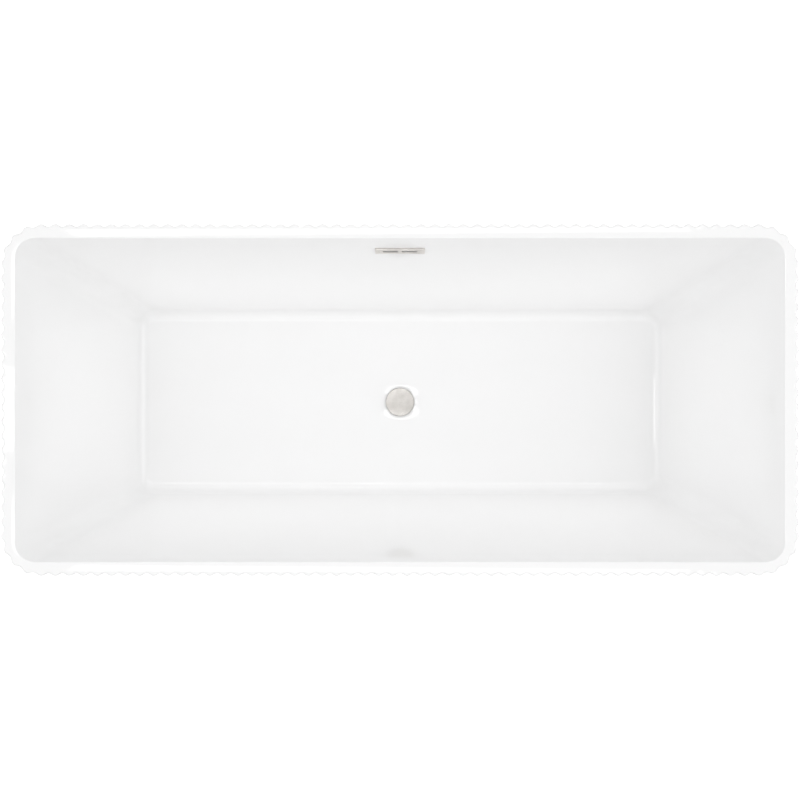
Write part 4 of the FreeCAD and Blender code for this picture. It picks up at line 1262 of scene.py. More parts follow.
def solids(node: str) -> list[Span]:
    """Boxes of the separate solids of a CAD node.

    Args:
        node: The CAD node.

    Returns:
        One box for each solid, in order of X, then Y.
    """
    shape = bmesh.new()
    shape.from_mesh(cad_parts[node].data)
    bmesh.ops.remove_doubles(shape, verts=shape.verts, dist=1e-6)
    waiting = set(shape.verts)
    found = []
    while waiting:
        grown = [waiting.pop()]
        solid = []
        while grown:
            vertex = grown.pop()
            solid.append(vertex.co.copy())
            for edge in vertex.link_edges:
                other = edge.other_vert(vertex)
                if other in waiting:
                    waiting.discard(other)
                    grown.append(other)
        low = Vector([min(p[axis] for p in solid) for axis in range(3)])
        high = Vector([max(p[axis] for p in solid) for axis in range(3)])
        found.append(Span(low, high))
    shape.free()
    return sorted(found, key=lambda span: (round(span.middle.x, 4), round(span.middle.y, 4)))


@dataclass
class Assembly:
    """Base of every sub-assembly: how its pieces join the frame."""

    finishes: Finishes

    def dress(self, piece: Object, finish: Finish, *nodes: str, body: str = "tub") -> None:
        """Gives a piece its finish and its place in the frame.

        Args:
            piece: The piece.
            finish: Its finish, which has the record's material slot.
            *nodes: CAD nodes that it stands for.
            body: CAD body that it moves with.
        """
        piece.data.materials.clear()
        piece.data.materials.append(self.finishes.of(finish))
        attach(piece, body)
        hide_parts(*nodes)


# ---- Basin and skirt


@dataclass(frozen=True)
class Perimeter:
    """Number of points on each corner, long side and short side of a ring."""

    corner: int = 16
    long: int = 204
    short: int = 76

    @property
    def total(self) -> int:
        """Points in the whole ring."""
        return 4 * self.corner + 2 * self.long + 2 * self.short

    def ring(self, corner: Callable[[int, int, float], Vector]) -> list[Vector]:
        """Ring through four corners and the straight sides between them.

        Args:
            corner: Gives a corner's point from its side along X, its side along Y, and the share of the
                way from facing along X to facing along Y.

        Returns:
            The ring's points, anticlockwise from the start of the first corner.
        """
        arcs = []
        for index, (sx, sy) in enumerate(((1, 1), (-1, 1), (-1, -1), (1, -1))):
            shares = [step / self.corner for step in range(self.corner + 1)]
            order = reversed(shares) if index % 2 else shares
            arcs.append([corner(sx, sy, share) for share in order])
        points: list[Vector] = []
        for index, arc in enumerate(arcs):
            following = arcs[(index + 1) % 4][0]
            count = self.short if index % 2 else self.long
            points += arc
            points += [arc[-1].lerp(following, step / count) for step in range(1, count)]
        return points

    def spread(self, radius: float, height: float, every: int = 1) -> list[Vector]:
        """Circle whose points stand opposite those of a ring, or opposite one in so many."""
        turns = (WHOLE_TURN * (i + self.short / 2) / self.total for i in range(0, self.total, every))
        return [polar(radius, turn, height) for turn in turns]


@dataclass(frozen=True)
class Flutes:
    """Fluted outline of the tub: rounded rectangle whose edge runs in shallow waves."""

    half_x: float
    half_y: float
    radius: float = 0.085
    depth: float = 0.0055
    pitch: float = 0.030
    samples: int = 12
    around: Perimeter = Perimeter(48, 612, 228)

    def wave(self, share: float) -> float:
        """Height of the wave at a share of its pitch from a crest."""
        along = self.pitch * min(share % 1.0, 1.0 - share % 1.0)
        quarter, rise = self.pitch / 4, self.depth / 2
        arc = (quarter**2 + rise**2) / (2 * rise)
        if along <= quarter:
            return math.sqrt(arc**2 - along**2) - (arc - rise)
        return (arc - rise) - math.sqrt(arc**2 - (2 * quarter - along) ** 2)

    def corner(self, sx: int, sy: int, share: float) -> Vector:
        """Point of the outline's middle line on one corner."""
        turn = share * math.pi / 2
        reach = self.radius - self.depth / 2
        x = self.half_x - self.radius + reach * math.cos(turn)
        y = self.half_y - self.radius + reach * math.sin(turn)
        return Vector((sx * x, sy * y, 0.0))

    def facing(self, sx: int, sy: int, share: float) -> Vector:
        """Unit vector out of a corner."""
        turn = share * math.pi / 2
        return Vector((sx * math.cos(turn), sy * math.sin(turn), 0))

    def outline(self) -> Callable[[float, float], list[Vector]]:
        """The fluted outline.

        Returns:
            A function that gives its ring, from an inset and a height.
        """
        path = self.around.ring(self.corner)
        outward = self.around.ring(self.facing)
        points = [p + n * self.wave(i / self.samples) for i, (p, n) in enumerate(zip(path, outward))]
        square = []
        for index in range(len(points)):
            along = points[(index + 1) % len(points)] - points[index - 1]
            square.append(Vector((along.y, -along.x, 0.0)).normalized())

        def ring(inset: float, height: float) -> list[Vector]:
            """Ring of the outline."""
            return [Vector((*(p - n * inset).xy, height)) for p, n in zip(points, square)]

        return ring


@dataclass(frozen=True)
class Bowl:
    """Inside of the basin: four sloping walls with round corners over a flat floor."""

    floor_x: float = 0.628
    floor_y: float = 0.217
    floor_z: float = 0.150
    end_slope: float = 0.4465
    side_slope: float = 0.2977
    corner: float = 0.045
    fillet: float = 0.030

    def facing(self, sx: int, sy: int, share: float) -> Vector:
        """Unit vector out of a corner, from square to the end wall to square to the side wall."""
        end = Vector((sx, 0.0, -self.end_slope)).normalized()
        side = Vector((0.0, sy, -self.side_slope)).normalized()
        return slerp(end, side, share)

    def centre(self, sx: int, sy: int, height: float) -> Vector:
        """Point of a corner's axis."""
        rise = height - self.floor_z
        x = self.floor_x + self.end_slope * rise - self.corner * math.hypot(1.0, self.end_slope)
        y = self.floor_y + self.side_slope * rise - self.corner * math.hypot(1.0, self.side_slope)
        return Vector((sx * x, sy * y, height))

    def at(self, sx: int, sy: int, share: float, height: float, outward: float) -> Vector:
        """Point of a corner at a height, so far outside the wall's face."""
        facing = self.facing(sx, sy, share)
        radius = self.corner + outward
        return self.centre(sx, sy, height - radius * facing.z) + facing * radius

    def wall(self, around: Perimeter, height: float, outward: float = 0.0) -> list[Vector]:
        """Ring round the walls at a height, so far outside their face."""
        return around.ring(lambda sx, sy, share: self.at(sx, sy, share, height, outward))

    def foot(self, around: Perimeter, share: float, outward: float = 0.0) -> list[Vector]:
        """Ring on the fillet between the walls and the floor.

        Args:
            around: Points of the ring.
            share: Share of the way down the fillet.
            outward: Distance outside the basin's face.

        Returns:
            The ring's points.
        """

        def point(sx: int, sy: int, turn: float) -> Vector:
            """Point of the fillet on one corner."""
            centre = self.at(sx, sy, turn, self.floor_z + self.fillet, -self.fillet)
            return centre + slerp(self.facing(sx, sy, turn), -UP, share) * (self.fillet + outward)

        return around.ring(point)

    def mouth(self, around: Perimeter, share: float, top: float, radius: float) -> list[Vector]:
        """Ring on the round between the walls and the rim's top.

        Args:
            around: Points of the ring.
            share: Share of the way down from the rim's top.
            top: Height of the rim.
            radius: Radius of the round.

        Returns:
            The ring's points.
        """

        def point(sx: int, sy: int, turn: float) -> Vector:
            """Point of the round on one corner."""
            centre = self.at(sx, sy, turn, top - radius, radius)
            return centre + slerp(UP, -self.facing(sx, sy, turn), share) * radius

        return around.ring(point)


@dataclass
class Shell(Assembly):
    """Acrylic basin with its rim, and the laminate that backs it."""

    bowl: Bowl = Bowl()
    around: Perimeter = Perimeter()
    lip: float = 0.020
    lip_inset: float = 0.010
    lip_round: float = 0.004
    mouth_round: float = 0.003
    rim: float = 0.006
    wall: float = 0.005
    boss: float = 0.0403
    recess: float = 0.0343
    recess_depth: float = 0.0035
    hole: float = 0.026
    fall: float = 0.005
    seam: float = 0.0005
    backing: float = 0.003
    boss_height: float = 0.0085

    def build(self) -> None:
        """Builds the basin and its backing."""
        self.acrylic()
        self.laminate()

    def plain(self, inset: float, height: float) -> list[Vector]:
        """Plain ring inside the fluted outline."""
        span = Span.of("basin_shell")
        flutes = Flutes(span.high.x, span.high.y)
        radius = flutes.radius - inset

        def corner(sx: int, sy: int, share: float) -> Vector:
            """Point of one corner."""
            turn = share * math.pi / 2
            x = flutes.half_x - flutes.radius + radius * math.cos(turn)
            y = flutes.half_y - flutes.radius + radius * math.sin(turn)
            return Vector((sx * x, sy * y, height))

        return self.around.ring(corner)

    def dish(self, drop: float, radius: float, count: int, outward: float = 0.0) -> list[list[Vector]]:
        """Rings of the floor, from the foot of the walls to the waste.

        Args:
            drop: Fall of the floor to the waste.
            radius: Radius of the last ring.
            count: Number of rings.
            outward: Distance below the basin's own floor.

        Returns:
            The rings, one point in four of the walls' rings.
        """
        edge = self.bowl.foot(self.around, 1.0, outward)[::4]
        base = self.bowl.floor_z - outward
        circle_points = self.around.spread(radius, base, 4)
        rings = []
        for step in range(1, count + 1):
            share = step / count
            level = base - drop * (share * share * (3 - 2 * share))
            rings.append([Vector((*p.lerp(q, share).xy, level)) for p, q in zip(edge, circle_points)])
        return rings

    def acrylic(self) -> None:
        """Builds the basin."""
        span = Span.of("basin_shell")
        top = span.high.z
        fluted = Flutes(span.high.x, span.high.y).outline()
        skin = Skin()
        lip = [fluted(self.seam * 2, top - self.lip), fluted(0.0, top - self.lip + self.seam)]
        lip += [fluted(inset, top - drop) for inset, drop in quarter(self.lip_round, 6)]
        lip_rings = skin.rings(lip)

        inside = [self.plain(0.0130, top)]
        bowl, around = self.bowl, self.around
        inside += [bowl.mouth(around, step / 5, top, self.mouth_round) for step in range(6)]
        inside += [bowl.wall(around, height) for height in (0.54, 0.50, 0.42, 0.34, 0.26, 0.20)]
        inside += [bowl.foot(around, step / 8) for step in range(9)]
        inside_rings = skin.rings(inside)
        skin.bridge_coarser(lip_rings[-1], inside_rings[0])

        floor = self.dish(self.fall, self.recess + 0.0012, 14)
        low = bowl.floor_z - self.fall
        seat = low - self.recess_depth
        base = span.low.z
        well = [(self.recess, low - 0.0005), (self.recess, seat), (self.hole, seat), (self.hole, base)]
        well += [(self.boss - 0.001, base), (self.boss, base + 0.001), (self.boss, low - self.wall)]
        floor += [around.spread(radius, height, 4) for radius, height in well]
        floor_rings = skin.rings(floor)
        skin.bridge_coarser(inside_rings[-1], floor_rings[0])

        under = list(reversed(self.dish(self.fall, self.boss, 8, self.wall)[:-1]))
        under_rings = skin.rings(under)
        skin.bridge(floor_rings[-1], under_rings[0])
        outside = [bowl.foot(around, 1 - step / 6, self.wall) for step in range(7)]
        outside += [bowl.wall(around, height, self.wall) for height in (0.26, 0.42, top - self.rim)]
        outside += [self.plain(self.lip_inset, top - drop) for drop in (self.rim, self.lip)]
        outside_rings = skin.rings(outside)
        skin.bridge_coarser(outside_rings[0], under_rings[-1])
        skin.bridge_coarser(lip_rings[0], outside_rings[-1])
        shell = skin.piece("basin", 30.0)
        self.overflow_window(shell)
        self.dress(shell, ACRYLIC, "basin_shell")

    def overflow_window(self, layer: Object) -> None:
        """Cuts the overflow's window through one layer of the wall."""
        window = sheet(rectangle(0.040, 0.007, 0.003), [], -0.012, 0.012, 0.0002)
        cut_out(layer, OverflowFrame.of_cover().facing(window))

    def laminate(self) -> None:
        """Builds the rolled glass-strand backing, rough outside."""
        span = Span.of("basin_backing")
        skin = Skin()
        reach = self.wall + self.backing
        start = self.wall + 0.00002

        def rough(points: list[Vector]) -> list[Vector]:
            """Draws points in by the hand-rolled unevenness."""
            moved = []
            for point in points:
                dent = 0.5 + 0.5 * noise.fractal(point * 55.0, 1.0, 2.0, 3)
                inward = Vector((point.x, point.y, 0.0)).normalized() * (-0.0009 * dent)
                moved.append(point + inward)
            return moved

        bowl, around = self.bowl, self.around
        lower = bowl.floor_z - self.wall - self.fall
        seat = lower - self.boss_height
        base = span.low.z
        outside = [rough(bowl.wall(around, span.high.z - drop, reach)) for drop in (0.0, 0.004)]
        outside += [rough(bowl.wall(around, 0.53 - 0.025 * step, reach)) for step in range(14)]
        shift = Vector((0.0, 0.0, base - (bowl.floor_z - reach)))
        feet = [bowl.foot(around, step / 6, reach) for step in range(7)]
        outside += [rough([p + shift * (step / 6) for p in ring]) for step, ring in enumerate(feet)]
        outside_rings = skin.rings(outside)
        well = [(0.12, base), (self.hole + 0.001, base), (self.hole, base + 0.001), (self.hole, seat)]
        well += [(self.boss, seat), (self.boss, lower)]
        floor = [around.spread(radius, height, 4) for radius, height in well]
        floor_rings = skin.rings(floor)
        skin.bridge_coarser(outside_rings[-1], floor_rings[0])
        inner = list(reversed(self.dish(self.fall, self.boss, 4, start)[:-1]))
        inner_rings = skin.rings(inner)
        skin.bridge(floor_rings[-1], inner_rings[0])
        back = [bowl.foot(around, 1 - step / 4, start) for step in range(5)]
        back += [bowl.wall(around, height, start) for height in (0.34, span.high.z)]
        back_rings = skin.rings(back)
        skin.bridge_coarser(back_rings[0], inner_rings[-1])
        skin.bridge(back_rings[-1], outside_rings[0])
        backing = skin.piece("laminate_backing", 50.0)
        self.overflow_window(backing)
        self.dress(backing, LAMINATE, "basin_backing")


@dataclass
class Skirt(Assembly):
    """Fluted acrylic skirt that the basin's lip rests on."""

    shell: Shell | None = None
    seam: float = 0.0005
    foot_round: float = 0.002
    inset: float = 0.010
    band: float = 0.015
    band_height: float = 0.030
    tongue: float = 0.0104
    tongue_height: float = 0.012

    def build(self) -> None:
        """Builds the skirt."""
        span = Span.of("outer_skirt")
        top = span.high.z - self.tongue_height
        fluted = Flutes(span.high.x, span.high.y).outline()
        skin = Skin()
        base = span.low.z
        outside = [fluted(inset, base + rise) for rise, inset in quarter(self.foot_round, 4)]
        outside += [fluted(0.0, base + (top - base) * step / 6) for step in range(1, 6)]
        outside += [fluted(0.0, top - self.seam), fluted(self.seam * 2, top)]
        outside_rings = skin.rings(outside)
        tip = top + self.tongue_height
        foot = top - self.band_height
        inside = [(self.tongue, top), (self.tongue, tip - 0.001), (self.tongue + 0.001, tip)]
        inside += [(self.band, tip), (self.band, foot + 0.002), (self.inset + 0.002, foot)]
        inside += [(self.inset, foot - 0.002), (self.inset, 0.3), (self.inset, base + 0.001)]
        inside += [(self.inset - 0.001, base)]
        inside_rings = skin.rings([self.shell.plain(*place) for place in inside])
        skin.bridge_coarser(outside_rings[-1], inside_rings[0])
        skin.bridge_coarser(outside_rings[0], inside_rings[-1])
        skirt = skin.piece("fluted_skirt", 30.0)
        self.dress(skirt, ACRYLIC, "outer_skirt")


# ---- Waste and plug


@dataclass
class Waste(Assembly):
    """Click waste: flange, plug, cartridge, lock nut, shoe and tail."""

    edge: float = 0.001
    bore: float = 0.020
    tube: float = 0.0239
    thread_pitch: float = 0.002
    spider_arms: int = 3
    arm_width: float = 0.003
    guide: float = 0.0041
    cartridge_bore: float = 0.0065
    hub_bore: float = 0.00905
    grips: int = 14

    def build(self) -> None:
        """Builds every piece of the waste."""
        self.flange()
        self.plug()
        self.cartridge()
        self.seals()
        self.nuts()
        self.tail()

    def ring(self, node: str, inner: float, outer: float, low: float, high: float, edge: float) -> Skin:
        """Turned ring in the place of a CAD node, with edges of a radius."""
        section = soften([(inner, low), (outer, low), (outer, high), (inner, high)], edge, closed=True)
        return turned(section, closed=True, count=96).at(Span.of(node).plan)

    def flange(self) -> None:
        """Builds the flange with its threaded tube and its spider."""
        span = Span.of("waste_flange")
        low, high = span.low.z, span.high.z
        rim = span.half.x
        thread_top = high - 0.018

        def thread(radius: float, height: float, angle: float) -> float:
            """Cuts the thread into the tube's outside."""
            if radius < self.tube - 1e-5 or height > thread_top or height < low + 0.001:
                return radius
            phase = (height / self.thread_pitch - angle / WHOLE_TURN) % 1.0
            return radius - 0.0007 * max(0.0, 1.5 * abs(2 * phase - 1) - 0.4)

        tube = [(self.tube, low + 0.001 + (thread_top - low) * step / 100) for step in range(101)]
        top = [(self.tube, high - 0.0025), (rim - 0.0006, high - 0.0025), (rim, high - 0.0019)]
        top += [(rim - 0.0007, high - 0.0004), (rim - 0.0025, high), (self.bore + 0.0035, high)]
        top += [(self.bore + 0.0006, high - 0.0006), (self.bore, high - 0.003)]
        section = [(self.bore, low), (self.tube - 0.0008, low)] + tube + top
        skin = turned(section, closed=True, count=96, shape=thread)
        hub_low, hub_high, hub = 0.118, 0.128, 0.0115
        inner = self.hub_bore
        section = [(inner, hub_low), (hub, hub_low), (hub, hub_high), (inner, hub_high)]
        skin.join(turned(soften(section, 0.0005, True), closed=True, count=64))
        reach = (hub + self.bore) / 2
        bar = rectangle((self.bore - hub) / 2 + 0.0008, self.arm_width / 2, 0.0004, (reach, 0.0))
        arm = sheet(bar, [], hub_low, hub_high, 0.0004)
        for index in range(self.spider_arms):
            skin.join(arm.moved(Matrix.Rotation(WHOLE_TURN * index / self.spider_arms, 4, "Z")))
        self.dress(skin.piece("waste_flange_ring", 32), NICKEL, "waste_flange")

    def plug(self) -> None:
        """Builds the cap, its seal and its stem."""
        cap = Span.of("plug_cap")
        boss = 0.010
        face = cap.high.z - 0.004
        radius = cap.half.x
        profile = soften(
            [(0.001, cap.high.z), (radius, cap.high.z), (radius, face), (boss, face), (boss, cap.low.z),
             (self.guide, cap.low.z), (self.guide, cap.high.z - 0.0058)],
            self.edge, steps=6,
        )
        disc = turned(profile, count=144).piece("plug_cap_disc", 32)
        # The cap takes the darker nickel copy, which paints shade onto its colour.
        self.dress(disc, SHADED_CAP_NICKEL, "plug_cap", body="plug")
        seal = Span.of("plug_seal")
        lens = self.ring("plug_seal", boss + 0.0001, seal.half.x, seal.low.z, seal.high.z, 0.00035)
        self.dress(lens.piece("plug_seal_ring"), RUBBER, "plug_seal", body="plug")
        stem = Span.of("plug_stem")
        shoulder = stem.low.z + 0.0037
        rod = 0.004
        profile = [(0.0055, stem.low.z), (0.0063, stem.low.z + 0.0008), (0.0063, shoulder - 0.0006)]
        profile += [(0.0057, shoulder), (rod, shoulder + 0.0004), (rod, stem.high.z - 0.009)]
        profile += [(rod - 0.0006, stem.high.z - 0.0085), (rod - 0.0006, stem.high.z - 0.0075)]
        profile += [(rod, stem.high.z - 0.007), (rod, stem.high.z - 0.0007), (rod - 0.0007, stem.high.z)]
        self.dress(turned(profile).piece("plug_stem_rod"), NICKEL, "plug_stem", body="plug_rod")

    def cartridge(self) -> None:
        """Builds the click cartridge and gives the spring inside it its finish."""
        span = Span.of("click_cartridge")
        outer = span.half.x
        neck = span.high.z - 0.003
        groove = 0.0006
        base = span.low.z
        section = [(self.cartridge_bore, base), (outer - 0.0006, base), (outer, base + 0.0006)]
        for step in range(4):
            level = span.low.z + 0.004 + 0.003 * step
            section += [(outer, level), (outer - groove, level + 0.0005), (outer - groove, level + 0.001)]
            section += [(outer, level + 0.0015)]
        section += [(outer, span.high.z - 0.0008), (outer - 0.0008, span.high.z), (self.guide, span.high.z)]
        section += [(self.guide, neck), (self.cartridge_bore, neck)]
        skin = turned(section, closed=True, count=64)
        self.dress(skin.piece("click_cartridge_barrel", 30), NICKEL, "click_cartridge")
        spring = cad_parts["plug_spring"]
        spring.data.materials.clear()
        spring.data.materials.append(self.finishes.of(SPRING_WIRE))

    def seals(self) -> None:
        """Builds the gaskets on each side of the basin and the washer of the tail."""
        for node, inner, edge in (
            ("waste_gasket_upper", self.tube + 0.0006, 0.0003),
            ("waste_gasket_lower", self.tube + 0.0011, 0.0012),
            ("tail_washer", self.bore + 0.00015, 0.0005),
        ):
            span = Span.of(node)
            skin = self.ring(node, inner, span.half.x, span.low.z, span.high.z, edge)
            self.dress(skin.piece(f"{node}_ring"), RUBBER, node)

    def nuts(self) -> None:
        """Builds the lock nut under the basin and the ribbed nut of the tail."""
        lock = Span.of("waste_locknut")
        turn = 0.0 if lock.half.x > lock.half.y else math.pi / 6
        skin = nut(lock.flats, lock.low.z, lock.high.z, self.tube + 0.0003)
        skin = skin.moved(Matrix.Rotation(turn, 4, "Z"))
        self.dress(skin.piece("waste_lock_nut"), BRASS, "waste_locknut")
        span = Span.of("tail_nut")
        outer = span.half.x
        low, high = span.low.z, span.high.z
        bore, ledge = self.bore + 0.0005, 0.0243

        def ribbed(radius: float, height: float, angle: float) -> float:
            """Presses finger grips into the nut's outside."""
            if radius < 0.0255:
                return radius
            end = min(1.0, (height - low) / 0.002, (high - height) / 0.002)
            return radius - 0.0014 * end * (0.5 - 0.5 * math.cos(angle * self.grips)) ** 2

        section = soften([(bore, low), (outer, low), (outer, high), (ledge, high)], 0.0016, steps=5)
        section += [(ledge, low + 0.003), (bore, low + 0.003)]

        def parts(first: Pair, last: Pair) -> int:
            """Divides the ribbed side."""
            return 6 if min(first[0], last[0]) > outer - 1e-5 and abs(last[1] - first[1]) > 0.004 else 1

        skin = turned(divided(section, parts), closed=True, count=168, shape=ribbed)
        self.dress(skin.piece("tail_nut_ribbed", 45), WHITE_MOULDING, "tail_nut")

    def tail(self) -> None:
        """Builds the shoe and the tail that drops through the floor."""
        shoe = eased_copy("waste_shoe", "waste_shoe_body", 0.0007)
        self.dress(shoe, WHITE_MOULDING, "waste_shoe")
        span = Span.of("tailpiece")
        outer, inner, neck = span.half.x, 0.0175, 0.0195
        section = [(inner + 0.0008, span.low.z), (outer - 0.0012, span.low.z), (outer, span.low.z + 0.0025)]
        for step in range(3):
            level = span.low.z + 0.006 + 0.005 * step
            section += [(outer, level), (outer - 0.0003, level + 0.0004), (outer, level + 0.0008)]
        section += [(outer, 0.0295), (neck, 0.030), (neck, span.high.z - 0.001)]
        section += [(neck - 0.001, span.high.z)]
        section += [(inner, span.high.z), (inner, span.low.z + 0.0008)]
        skin = turned(section, closed=True, count=96)
        self.dress(skin.piece("tail_tube", 30), WHITE_MOULDING, "tailpiece")


# ---- Overflow


@dataclass(frozen=True)
class OverflowFrame:
    """Where the overflow sits: X along the wall, Y out through it, Z up it."""

    matrix: Matrix

    @classmethod
    def of_cover(cls) -> "OverflowFrame":
        """Finds the frame from the cover's box and the wall's slope."""
        tilt = Matrix.Rotation(-math.atan(Bowl().side_slope), 4, "X")
        middle = Span.of("overflow_cover").middle
        origin = middle - tilt @ Vector((0.0, -0.0021, 0.0))
        return cls(Matrix.Translation(origin) @ tilt)

    def facing(self, skin: Skin) -> Skin:
        """Turns a sheet drawn flat so that it lies against the wall, its top towards the bather."""
        return skin.moved(self.matrix @ Matrix.Rotation(math.pi / 2, 4, "X"))


@dataclass
class Overflow(Assembly):
    """Slotted overflow: cover, plate, gaskets, screws, body, hose and clips."""

    half_x: float = 0.054
    half_z: float = 0.012
    corner: float = 0.002
    depth: Pair = (0.0002, 0.004)
    front_edge: float = 0.0008
    wall: float = 0.0012
    slot: tuple[float, float, float] = (0.0165, 0.0035, 0.0205)
    screw_x: float = 0.046
    window: Pair = (0.040, 0.007)
    hose_radius: float = 0.0145
    groove: float = 0.0014
    ring_pitch: float = 0.005
    cuff: float = 0.020
    bend: float = 0.150

    def build(self) -> None:
        """Builds every piece of the overflow."""
        self.place = OverflowFrame.of_cover()
        self.cover()
        self.inner_plates()
        self.screws()
        body = eased_copy("overflow_body", "overflow_body_shell", 0.0006)
        self.dress(body, WHITE_MOULDING, "overflow_body")
        self.hose()
        self.clips()

    def cover(self) -> None:
        """Builds the brushed cover: a shallow tray with two slots."""
        low, high = self.depth
        skin = Skin()

        def outline(inset: float, height: float) -> list[Vector]:
            """Ring of the tray."""
            edge = rectangle(self.half_x - inset, self.half_z - inset, max(self.corner - inset, 0.0004))
            return [Vector((x, y, height)) for x, y in edge]

        rings = [outline(self.wall, low), outline(0.0001, low), outline(0.0, low + 0.0002)]
        rings += [outline(inset, high - drop) for inset, drop in quarter(self.front_edge, 6)]
        outside = skin.rings(rings)
        skin.faces.append(tuple(outside[-1]))
        inside = skin.rings([outline(self.wall, high - self.wall)])
        skin.bridge(inside[0], outside[0])
        skin.faces.append(tuple(reversed(inside[0])))
        cover = skin.piece("overflow_cover_tray", 30)
        half_x, half_z, centre = self.slot
        slots = Skin()
        for side in (-1, 1):
            slot = rectangle(half_x, half_z, 0.0015, (side * centre, 0.0))
            slots.join(sheet(slot, [], 0.001, 0.006, 0.0001))
        cut_out(cover, slots)
        ease(cover.data, 0.00015, 50.0)
        cover.data.transform(self.place.matrix @ Matrix.Rotation(math.pi / 2, 4, "X"))
        self.dress(cover, NICKEL, "overflow_cover")

    def inner_plates(self) -> None:
        """Builds the fixing plate behind the cover and the gaskets on each side of the wall."""
        half_x, half_z, centre = self.slot
        holes = [rectangle(half_x, half_z, 0.0015, (side * centre, 0.0)) for side in (-1, 1)]
        holes += [round_hole(0.0034, side * self.screw_x, 0.0) for side in (-1, 1)]
        small = [rectangle(*self.window, 0.002)]
        small += [round_hole(0.0021, side * self.screw_x, 0.0) for side in (-1, 1)]
        outline = rectangle(self.half_x - self.wall, self.half_z - self.wall, self.wall)
        plate = sheet(outline, holes, 0.0008, 0.0023, 0.0002)
        piece = self.place.facing(plate).piece("overflow_fixing_plate")
        self.dress(piece, WHITE_MOULDING, "overflow_plate")
        for node, low, high in (
            ("overflow_gasket_front", 0.0, 0.0008),
            ("overflow_gasket_back", -0.0095, -0.008),
        ):
            half = Span.of(node).half.x
            inset = self.half_x - half
            seal = sheet(rectangle(half, self.half_z - inset, 0.0015), small, low, high, 0.0002)
            piece = self.place.facing(seal).piece(f"{node}_pad")
            self.dress(piece, RUBBER, node)

    def screws(self) -> None:
        """Builds the two fixing screws."""
        skin = Skin()
        for side in (-1, 1):
            screw = cross_head(0.0032, 0.0014, 0.0019, 0.024)
            turn = Matrix.Rotation(-math.pi / 2, 4, "X")
            seat = Matrix.Translation((side * self.screw_x, -0.0009, 0))
            skin.join(screw.moved(self.place.matrix @ seat @ turn))
        self.dress(skin.piece("overflow_fixing_screws"), STAINLESS, "overflow_screws")

    def hose(self) -> None:
        """Builds the ribbed hose from the overflow down to the shoe."""
        span = Span.of("overflow_hose")
        start = span.low.y
        level = span.low.z + self.hose_radius
        upright = span.high.y - self.hose_radius
        top = span.high.z
        flat = upright - self.bend - start
        arc = self.bend * math.pi / 2
        rise = top - level - self.bend
        length = flat + arc + rise
        steps = round(length / self.ring_pitch * 8)
        path, radii = [], []
        for step in range(steps + 1):
            along = length * step / steps
            if along <= flat:
                point = Vector((0.0, start + along, level))
            elif along <= flat + arc:
                turn = (along - flat) / self.bend
                across = start + flat + self.bend * math.sin(turn)
                point = Vector((0.0, across, level + self.bend * (1 - math.cos(turn))))
            else:
                point = Vector((0.0, upright, level + self.bend + along - flat - arc))
            inner = min(along, length - along) - self.cuff
            fade = min(1.0, max(0.0, inner / 0.004))
            ripple = 0.5 - 0.5 * math.cos(WHOLE_TURN * along / self.ring_pitch)
            path.append(point)
            radii.append(self.hose_radius - self.groove * fade * ripple)
        skin = swept(path, radii, Vector((1.0, 0.0, 0.0)), 36)
        self.dress(skin.piece("ribbed_hose", 60), HOSE_MOULDING, "overflow_hose")

    def clips(self) -> None:
        """Builds the worm-drive clips at the hose's ends."""
        quarter_back = Matrix.Rotation(-math.pi / 2, 4, "X")
        for node, turn in (("hose_clip_lower", quarter_back), ("hose_clip_upper", Matrix())):
            span = Span.of(node)
            band = self.hose_radius + 0.001
            width = min(span.half.y, span.half.z)
            inner = self.hose_radius
            section = soften([(inner, -width), (band, -width), (band, width), (inner, width)], 0.0003, True)

            def notched(radius: float, height: float, angle: float) -> float:
                """Punches the band's slots beside the housing."""
                if radius < band - 1e-5 or abs(height) > width * 0.55 or math.cos(angle) < -0.3:
                    return radius
                return radius - (0.0004 if math.sin(angle * 44) > 0.1 else 0.0)

            def parts(first: Pair, last: Pair) -> int:
                """Divides the band's outer side."""
                upright = abs(last[1] - first[1]) > width
                return 8 if upright and min(first[0], last[0]) > inner + 0.0005 else 1

            skin = turned(divided(section, parts), closed=True, count=264, shape=notched)
            reach = span.high.x - band
            housing = rectangle(reach / 2 - 0.0001, 0.0052, 0.0016, (band + reach / 2 - 0.0001, 0.0))
            skin.join(sheet(housing, [], -width, width, 0.0006))
            worm = cross_head(0.0028, 0.0018, 0.0024, 0.0115)
            skin.join(worm.moved(Matrix.Translation((band + reach / 2, -0.0052, 0.0)) @ quarter_back))
            centre = span.middle
            centre.x = 0.0
            piece = skin.moved(Matrix.Translation(centre) @ turn).piece(f"{node}_band", 30)
            self.dress(piece, STAINLESS, node)


# ---- Under-frame and feet


def socket_bolt(
    head: float, height: float, socket: float, shank: float, length: float, pitch: float
) -> Skin:
    """Socket-head bolt that points up, with its seat at 0.

    Args:
        head: Radius of the head.
        height: Height of the head, which hangs below 0.
        socket: Width across the socket's flats.
        shank: Radius of the shank.
        length: Length of the shank.
        pitch: Pitch of its thread.

    Returns:
        The bolt's skin.
    """
    count = 48

    def six(width: float, level: float) -> list[Vector]:
        """Ring in the shape of the socket."""
        turns = [WHOLE_TURN * index / count for index in range(count)]
        return [polar(hexagon_radius(width, turn), turn, level) for turn in turns]

    skin = Skin()
    rings = [six(socket, -height * 0.45), six(socket, -height + 0.0004)]
    outside = [(socket * 0.62, -height), (head - 0.0007, -height), (head - 0.0002, -height + 0.0002)]
    outside += [(head, -height + 0.0007), (head, -0.0003), (head - 0.0003, 0.0), (shank, 0.0)]
    rings += [circle(radius, level, count) for radius, level in outside]
    numbers = skin.rings(rings)
    skin.fan(numbers[0], Vector((0, 0, -height * 0.45)))
    return skin.join(threaded_rod(shank, 0.0, length, pitch, pitch * 0.5, count=32))


